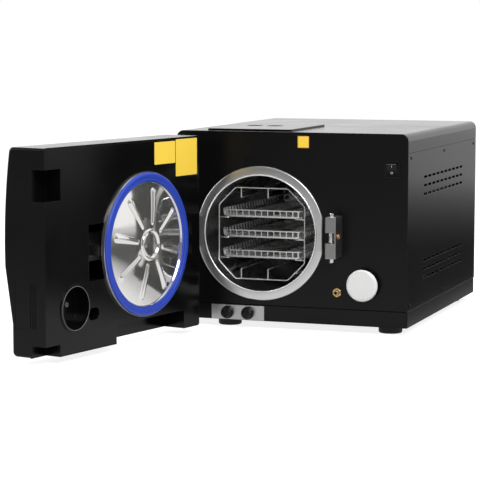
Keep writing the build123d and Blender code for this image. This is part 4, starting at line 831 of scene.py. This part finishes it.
def filter_cap():
    """Thin round cap with a shallow groove inside its rim, on a narrower neck."""
    low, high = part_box("air_filter")
    radius, neck, front, back = (high.x - low.x) / 2 - 0.0016, 0.022, low.y, high.y
    profile = [(0.0, front)]
    profile += profile_at(radius, front, (-0.0052, 0), (-0.0048, 0.0005), (-0.0042, 0.0005), (-0.0038, 0.0001),
                          (-0.0028, 0.0003), (-0.0012, 0.0014), (-0.0003, 0.0032), (0, 0.0050), (-0.0004, 0.0078),
                          (-0.0018, 0.0092))
    profile += profile_at(neck, front, (0.002, 0.0100), (0, 0.0115))
    return spun(profile + [(neck, back), (0.0, back)], (low + high) / 2, 128, closed=False)


def drain_nut():
    """Chamfered hexagon with a barbed spout, bored through."""
    low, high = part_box("drain_fitting")
    middle = (low + high) / 2
    head = carved(hexagon(0.0170, 0.0060, 0.0009), rod(0.0034, -0.002, 0.010))
    moved(head, shift(middle.x, FRONT, middle.z) @ FACE_FRONT)
    profile = [(0.0032, high.y)]
    profile += profile_at(0, low.y, (0.0032, 0.0008), (0.0038, 0), (0.0047, 0), (0.0055, 0.0010), (0.0055, 0.0030),
                          (0.0049, 0.0036), (0.0055, 0.0050))
    profile += profile_at(0, FRONT, (0.0055, -0.0060), (0.0063, -0.0060))
    return joined([head, spun(profile + [(0.0063, high.y)], middle, 48)])


def fluted_knob(node):
    """Skirted knob: a fluted grip with a pointer bar across its face."""
    low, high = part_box(node)
    middle = (low + high) / 2
    radius, face, back, flutes = (high.x - low.x) / 2, low.y, high.y, 16
    profile = profile_at(0, face, (0, 0.0026), (0.0088, 0.0026), (0.0096, 0.0029), (0.0101, 0.0038),
                         (0.0104, 0.0060), (0.0108, 0.0090), (0.0112, 0.0122))
    profile += profile_at(radius, face, (-0.0010, 0.0126), (-0.0002, 0.0134), (0, 0.0142))
    profile += profile_at(radius, back, (0, -0.0004), (-0.0004, 0))
    bm = spun(profile + [(0.0, back)], middle, 144, closed=False)
    for vert in bm.verts:
        arm = vert.co - middle
        if 0.0094 < math.hypot(arm.x, arm.z) < 0.0110 and vert.co.y < face + 0.0100:
            pull = 1 - 0.055 * max(0.0, math.cos(flutes * math.atan2(arm.z, arm.x))) ** 2
            vert.co.x, vert.co.z = middle.x + arm.x * pull, middle.z + arm.z * pull
    pointer = plate_at(FACE_FRONT, (middle.x, face + 0.0030, middle.z), 0.0040, 0.0176, 0.0019, 0.0030, 5)
    return joined([bm, pointer])


def screw_head(radius):
    """Domed head that faces along -Y, with its recess."""
    dome = spun([(0.0, -0.0015), (radius * 0.55, -0.0014), (radius * 0.86, -0.0010), (radius, -0.0003),
                 (radius, 0.0), (0.0, 0.0)], Vector(), 28, closed=False)
    for length, width in ((0.0038, 0.0008), (0.0008, 0.0038)):
        dome = carved(dome, plate_at(FACE_FRONT, (0, -0.0007, 0), length, width, 0.0, 0.004))
    return dome


# Operators, one for each piece or group of like pieces


class AUTOCLAVE_OT_cabinet(bpy.types.Operator):
    """Coats the cabinet's sheets and gives the hidden structure its finishes"""

    bl_idname = "autoclave.cabinet"
    bl_label = "Cabinet"

    def execute(self, context):
        dress("black powder coat", "top_cover", "rear_panel", "tank_lid")
        dress("duller powder coat", "base_pan", "front_panel")
        dress("grey frame paint", "front_frame", "rear_saddle", "door_arm", "power_supply")
        dress("foot rubber", "feet")
        dress("heater silicone", "heater_band")
        dress("mineral felt", "insulation_jacket")
        dress("tank plastic", "water_tank")
        dress("port plastic", "filter_port")
        dress("board lacquer", "control_board", "display_board")
        dress("fan plastic", "fan_frame", "fan_rotor")
        dress("cast aluminium", "vacuum_pump", "pressure_plate")
        dress("brass", "drain_valves", "safety_valve", "solenoid_valves")
        dress("plated motor", "lock_motor")
        # Matte black strip along the foot of the front panel: a painted shadow in the seam between panel and base
        strip = plate_at(FACE_FRONT, (CABINET_X, FRONT, PANEL_LOW.z),
                         PANEL_HIGH.x - PANEL_LOW.x - 0.003, 0.0017, 0.0004, 0.0002, 2)
        finish_piece("panel_seam_painted_shadow", strip, "cabinet", "seam gasket", "coat_black")
        low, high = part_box("fan_frame")
        middle = (low + high) / 2
        screen = plate_at(FACE_FRONT, (middle.x, low.y, middle.z), high.x - low.x, high.z - low.z, 0.004, 0.0015)
        finish_piece("fan_dust_screen", screen, "cabinet", "fan plastic", "coat_black")
        return {"FINISHED"}


class AUTOCLAVE_OT_side_panels(bpy.types.Operator):
    """Side panels with their round-ended vent slots"""

    bl_idname = "autoclave.side_panels"
    bl_label = "Side panels"

    def execute(self, context):
        for node in ("side_panel_left", "side_panel_right"):
            low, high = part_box(node)
            middle, size = (low + high) / 2, high - low
            panel = plate_at(FACE_RIGHT, (low.x, middle.y, middle.z), size.y, size.z, 0.0, size.x)
            piece = carved(panel, vent_cutters(context.scene.autoclave.cabinet, middle.x))
            finish_piece(f"{node}_vented", piece, "cabinet", "black powder coat", "coat_black", node)
        return {"FINISHED"}


class AUTOCLAVE_OT_chamber(bpy.types.Operator):
    """Chamber vessel with its bright lip, and the turned flange ring with its two flats"""

    bl_idname = "autoclave.chamber"
    bl_label = "Chamber"

    def execute(self, context):
        low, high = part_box("chamber_vessel")
        outer = (high.x - low.x) / 2
        pot = chamber_pot(low.y, high.y, outer)
        finish_piece("chamber_pot", pot, "cabinet", "satin chamber", "chamber_steel", "chamber_vessel")
        ring = flange_ring(context.scene.autoclave.chamber.flange_radius, outer + 0.0001)
        finish_piece("flange_ring", ring, "cabinet", "turned flange", "chamber_steel", "chamber_flange")
        bead = spun(bead_profile(outer - 0.0012, low.y, 0.0016, 12), CHAMBER, 192)
        finish_piece("chamber_lip_bead", bead, "cabinet", "bright lip", "chamber_steel", angle=60.0)
        dress("dull steel", "rack_rails")
        dress("bright steel", "door_spindle")
        return {"FINISHED"}


class AUTOCLAVE_OT_rack(bpy.types.Operator):
    """Wire rack: cut-cornered loops, long stringers and bent tray guides"""

    bl_idname = "autoclave.rack"
    bl_label = "Wire rack"

    def execute(self, context):
        look = context.scene.autoclave.chamber
        rack = tubes(rack_wires(look), look.wire_radius)
        finish_piece("wire_rack", rack, "rack_frame", "polished wire", "rack_wire", "rack")
        return {"FINISHED"}


class AUTOCLAVE_OT_trays(bpy.types.Operator):
    """Pressed trays with leaning windowed walls, slotted floors and a bright folded rim"""

    bl_idname = "autoclave.trays"
    bl_label = "Trays"

    def execute(self, context):
        look = context.scene.autoclave.chamber
        for node, body in (("tray_bottom", "lower_tray"), ("tray_middle", "centre_tray"), ("tray_top", "upper_tray")):
            tray = pressed_tray(look, *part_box(node))
            finish_piece(f"{node}_pressed", tray, body, "tray steel", "tray_steel", node, angle=40.0)
        return {"FINISHED"}


class AUTOCLAVE_OT_door_mouldings(bpy.types.Operator):
    """Door mouldings, ridged side cover, window and keys"""

    bl_idname = "autoclave.door_mouldings"
    bl_label = "Door mouldings"

    def execute(self, context):
        dress("black moulding", "door_outer_shell", "door_inner_shell")
        dress("window front", "display_window")
        dress("key plastic", "key_1", "key_2", "key_3", "key_4")
        cup = Vector((0.139, FRONT - 0.0125, 0.1015))
        bead = spun(bead_profile(0.0424, cup.y, 0.0008, 8), cup, 96)
        finish_piece("cup_rim_bead", bead, "door", "rubbed plastic", "coat_black", angle=60.0)
        foot = cup + Vector((-0.007, -0.0295, 0.004))
        head = profile_at(0, foot.y, (0, 0.0003), (0.0026, 0.0003), (0.0030, 0.0024), (0.0046, 0.0024),
                          (0.0052, 0.0016), (0.0052, -0.0004), (0, -0.0004))
        finish_piece("cup_screw", spun(head, foot, 40, closed=False), "door", "rubbed plastic", "coat_black")
        finish_piece("side_cover_ridged", ridged_cover(), "door", "black moulding", "coat_black", "door_side_cover")
        return {"FINISHED"}


class AUTOCLAVE_OT_door_disc(bpy.types.Operator):
    """Polished door disc with its pressed ribs, and the blue seal in its channel"""

    bl_idname = "autoclave.door_disc"
    bl_label = "Door disc and seal"

    def execute(self, context):
        disc = pressed_disc(context.scene.autoclave.door)
        finish_piece("door_disc_pressed", disc, "door", "polished disc", "disc_steel", "door_disc", angle=60.0)
        finish_piece("door_seal_ring", seal_ring(), "door", "blue silicone", "seal_blue", "door_seal", angle=40.0)
        return {"FINISHED"}


class AUTOCLAVE_OT_latch(bpy.types.Operator):
    """Latch and hinge blocks, hook, strike screw, and pins with hexagon heads"""

    bl_idname = "autoclave.latch"
    bl_label = "Latch and hinge"

    def execute(self, context):
        dress("ground steel", "latch_block", "hinge_block")
        dress("dark hook steel", "latch_hook")
        dress("copper screw", "strike_screw")
        for node, block in (("latch_pin", "latch_block"), ("hinge_pin", "hinge_block")):
            pin = bolted_pin(node, block)
            finish_piece(f"{node}_bolt", pin, "cabinet", "bright steel", "chamber_steel", node)
        return {"FINISHED"}


class AUTOCLAVE_OT_fittings(bpy.types.Operator):
    """Switch, air filter, brass fitting, drain plate with its knobs, and the mains inlet"""

    bl_idname = "autoclave.fittings"
    bl_label = "Front fittings"

    def execute(self, context):
        dress("black fitting", "switch_housing", "rocker", "power_inlet")
        dress("satin plate", "drain_plate")
        finish_piece("air_filter_cap", filter_cap(), "cabinet", "white filter cap", "filter_white", "air_filter")
        finish_piece("drain_nut", drain_nut(), "cabinet", "brass", "brass", "drain_fitting")
        for node, body in (("drain_knob_left", "left_knob"), ("drain_knob_right", "right_knob")):
            finish_piece(f"{node}_fluted", fluted_knob(node), body, "black fitting", "coat_black", node)
        self.rocker_marks()
        return {"FINISHED"}

    def rocker_marks(self):
        """Printed line and ring on the two ends of the rocker, and a pale strip along its upper edge that is a
        painted highlight.
        """
        low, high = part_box("switch_housing")
        middle = (low + high) / 2
        tilted = Matrix.Rotation(math.radians(16), 4, "X") @ FACE_FRONT
        line = plate_at(tilted, (middle.x, FRONT - 0.00405, middle.z + 0.0065), 0.0009, 0.0048, 0.0002, 0.0002, 2)
        ring = spun([(0.0017, 0.0), (0.0024, 0.0), (0.0024, 0.0002), (0.0017, 0.0002)], Vector(), 40)
        moved(ring, shift(middle.x, FRONT - 0.00245, middle.z - 0.0070))
        finish_piece("rocker_print", joined([line, ring]), "switch_rocker", "white print", "coat_black")
        # Pale grey strip on the rocker's upper edge: a painted highlight
        ridge = plate_at(tilted, (middle.x, FRONT - 0.0059, middle.z + 0.0112), 0.0200, 0.0013, 0.0005, 0.0003, 3)
        finish_piece("rocker_painted_highlight", ridge, "switch_rocker", "rubbed plastic", "coat_black")


class AUTOCLAVE_OT_labels(bpy.types.Operator):
    """Bare yellow stickers on the door and on the front panel"""

    bl_idname = "autoclave.labels"
    bl_label = "Labels"

    def execute(self, context):
        inner_face = FRONT - 0.014
        for name, x, z, width, height in (
            ("door_label_wide", -0.135, 0.3828, 0.074, 0.0450),
            ("door_label_tall", -0.213, 0.3700, 0.078, 0.0757),
        ):
            sticker = plate_at(FACE_BACK, (CABINET_X + x, inner_face, z), width, height, 0.002, 0.0003)
            finish_piece(name, sticker, "door", "yellow label", "coat_black")
        for name, size, rise, finish in (
            ("panel_label_edge", 0.0250, 0.0002, "orange label edge"),
            ("panel_label", 0.0222, 0.0004, "yellow label"),
        ):
            sticker = plate_at(FACE_FRONT, (CABINET_X + 0.029, FRONT, 0.3978), size, size, 0.0015, rise)
            finish_piece(name, sticker, "cabinet", finish, "coat_black")
        return {"FINISHED"}


class AUTOCLAVE_OT_screws(bpy.types.Operator):
    """Pan-head screws with a cross recess along the side panels"""

    bl_idname = "autoclave.screws"
    bl_label = "Panel screws"

    def execute(self, context):
        low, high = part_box("panel_screws")
        radius = 0.0035
        pattern = screw_head(radius)
        heads = []
        for side, face in ((-1, PANEL_LOW.x), (1, PANEL_HIGH.x)):
            turn = Matrix.Rotation(side * math.pi / 2, 4, "Z")
            for y in (low.y + radius, (low.y + high.y) / 2, high.y - radius):
                for z in (low.z + radius, high.z - radius):
                    heads.append(moved(pattern.copy(), shift(face, y, z) @ turn))
        pattern.free()
        finish_piece("side_screws", joined(heads), "cabinet", "black powder coat", "coat_black", "panel_screws")
        return {"FINISHED"}


class AUTOCLAVE_OT_stage(bpy.types.Operator):
    """Plain pale floor, soft lamps, world and the camera"""

    bl_idname = "autoclave.stage"
    bl_label = "Studio"

    def execute(self, context):
        studio = context.scene.autoclave.studio
        self.floor(studio.floor)
        self.world(context.scene)
        for name, place, target, size, power in (
            ("key lamp", (1.6, -2.6, 2.6), (0.0, -0.2, 0.2), 2.2, 124.0),
            ("top lamp", (-0.6, 0.6, 3.2), (0.0, 0.0, 0.3), 2.6, 42.0),
            ("back lamp", (-1.8, 2.6, 2.4), (0.0, 0.0, 0.2), 2.0, 34.0),
            ("left lamp", (-3.2, -1.8, 1.4), (-0.2, -0.4, 0.25), 1.8, 26.0),
        ):
            light = bpy.data.lights.new(name, "AREA")
            light.shape = "DISK"
            light.size = size
            light.energy = power
            lamp = new_object(name, light)
            lamp.location = place
            lamp.rotation_euler = (Vector(target) - Vector(place)).to_track_quat("-Z", "Y").to_euler()
        camera = bpy.data.cameras.new("camera")
        camera.lens = studio.lens
        camera.sensor_width = 36.0
        camera.clip_end = 100.0
        eye = new_object("camera", camera)
        eye.location = studio.eye
        eye.rotation_euler = (math.pi / 2 - studio.pitch, 0.0, studio.yaw)
        context.scene.camera = eye
        context.scene.view_settings.view_transform = "Standard"
        return {"FINISHED"}

    def floor(self, colour):
        """Wide pale disc; reflections see it lighter far off, ahead of the door and beside the cabinet."""
        bm = bmesh.new()
        bmesh.ops.create_circle(bm, cap_ends=True, segments=96, radius=9.0)
        bmesh.ops.translate(bm, verts=bm.verts, vec=(0, 0, -0.0002))
        data = as_mesh("studio_floor", bm)
        material, tree, shader = principled("pale floor", colour, 0.7, level=0.0)
        add_surface(tree, shader, effect(tree, grain_group, {"Scale": 60.0, "Cloud scale": 2.0}), 0.0001, 0.05)
        path = add_node(tree, "LightPath").outputs
        seen = math_node(tree, "MAXIMUM", path["Is Camera Ray"], path["Is Transmission Ray"])
        place = object_place(tree)
        reach = vector_node(tree, "LENGTH", place)
        split = add_node(tree, "SeparateXYZ", {0: place}).outputs
        far = math_node(tree, "POWER", remap(tree, reach, 0.7, 4.2, 0.0, 0.78), 2.2)
        ahead = remap(tree, split["Y"], -0.1, -0.45, 0.0, 0.86)
        beside = remap(tree, split["X"], 0.20, 0.32, 0.55, 0.02)
        fading = remap(tree, reach, 1.2, 3.0, 1.0, 0.35)
        near = math_node(tree, "MULTIPLY", math_node(tree, "MAXIMUM", ahead, beside), fading)
        shine = math_node(tree, "MAXIMUM", far, near)
        glossy = math_node(tree, "MULTIPLY", path["Is Glossy Ray"], shine)
        lift = math_node(tree, "MAXIMUM", math_node(tree, "MULTIPLY", seen, 0.84), glossy)
        tree.links.new(lift, shader["Emission Strength"])
        shader["Emission Color"].default_value = (1.0, 1.0, 1.0, 1.0)
        mix_colour(tree, shader, path["Is Glossy Ray"], colour, (0.02, 0.02, 0.02))
        data.materials.append(material)
        new_object("studio_floor", data)

    def world(self, scene):
        """White to the camera and behind the cabinet, dim in front."""
        scene.world = bpy.data.worlds.new("studio")
        scene.world.use_nodes = True
        tree = scene.world.node_tree
        background = tree.nodes["Background"].inputs
        direction = add_node(tree, "TexCoord").outputs["Generated"]
        split = add_node(tree, "SeparateXYZ", {0: direction}).outputs
        behind = remap(tree, split["Y"], -0.6, 0.45, 0.16, 1.0)
        seen = add_node(tree, "LightPath").outputs["Is Camera Ray"]
        tree.links.new(math_node(tree, "MAXIMUM", behind, seen), background["Strength"])
        background["Color"].default_value = (1.0, 1.0, 1.0, 1.0)


PIECES = (
    AUTOCLAVE_OT_cabinet,
    AUTOCLAVE_OT_side_panels,
    AUTOCLAVE_OT_chamber,
    AUTOCLAVE_OT_rack,
    AUTOCLAVE_OT_trays,
    AUTOCLAVE_OT_door_mouldings,
    AUTOCLAVE_OT_door_disc,
    AUTOCLAVE_OT_latch,
    AUTOCLAVE_OT_fittings,
    AUTOCLAVE_OT_labels,
    AUTOCLAVE_OT_screws,
    AUTOCLAVE_OT_stage,
)


class AUTOCLAVE_PT_panel(bpy.types.Panel):
    """Lists the pieces of the autoclave"""

    bl_idname = "AUTOCLAVE_PT_panel"
    bl_label = "Bench autoclave"
    bl_space_type = "VIEW_3D"
    bl_region_type = "UI"
    bl_category = "Autoclave"

    def draw(self, context):
        for piece in PIECES:
            self.layout.operator(piece.bl_idname)


SETTINGS = (CabinetSettings, ChamberSettings, DoorSettings, StudioSettings, AutoclaveSettings)


def register():
    for cls in (*SETTINGS, *PIECES, AUTOCLAVE_PT_panel):
        bpy.utils.register_class(cls)
    bpy.types.Scene.autoclave = PointerProperty(type=AutoclaveSettings)


def unregister():
    del bpy.types.Scene.autoclave
    for cls in reversed((*SETTINGS, *PIECES, AUTOCLAVE_PT_panel)):
        bpy.utils.unregister_class(cls)


def main():
    register()
    for piece in PIECES:
        group, action = piece.bl_idname.split(".")
        getattr(getattr(bpy.ops, group), action)()


if __name__ == "__main__":
    main()
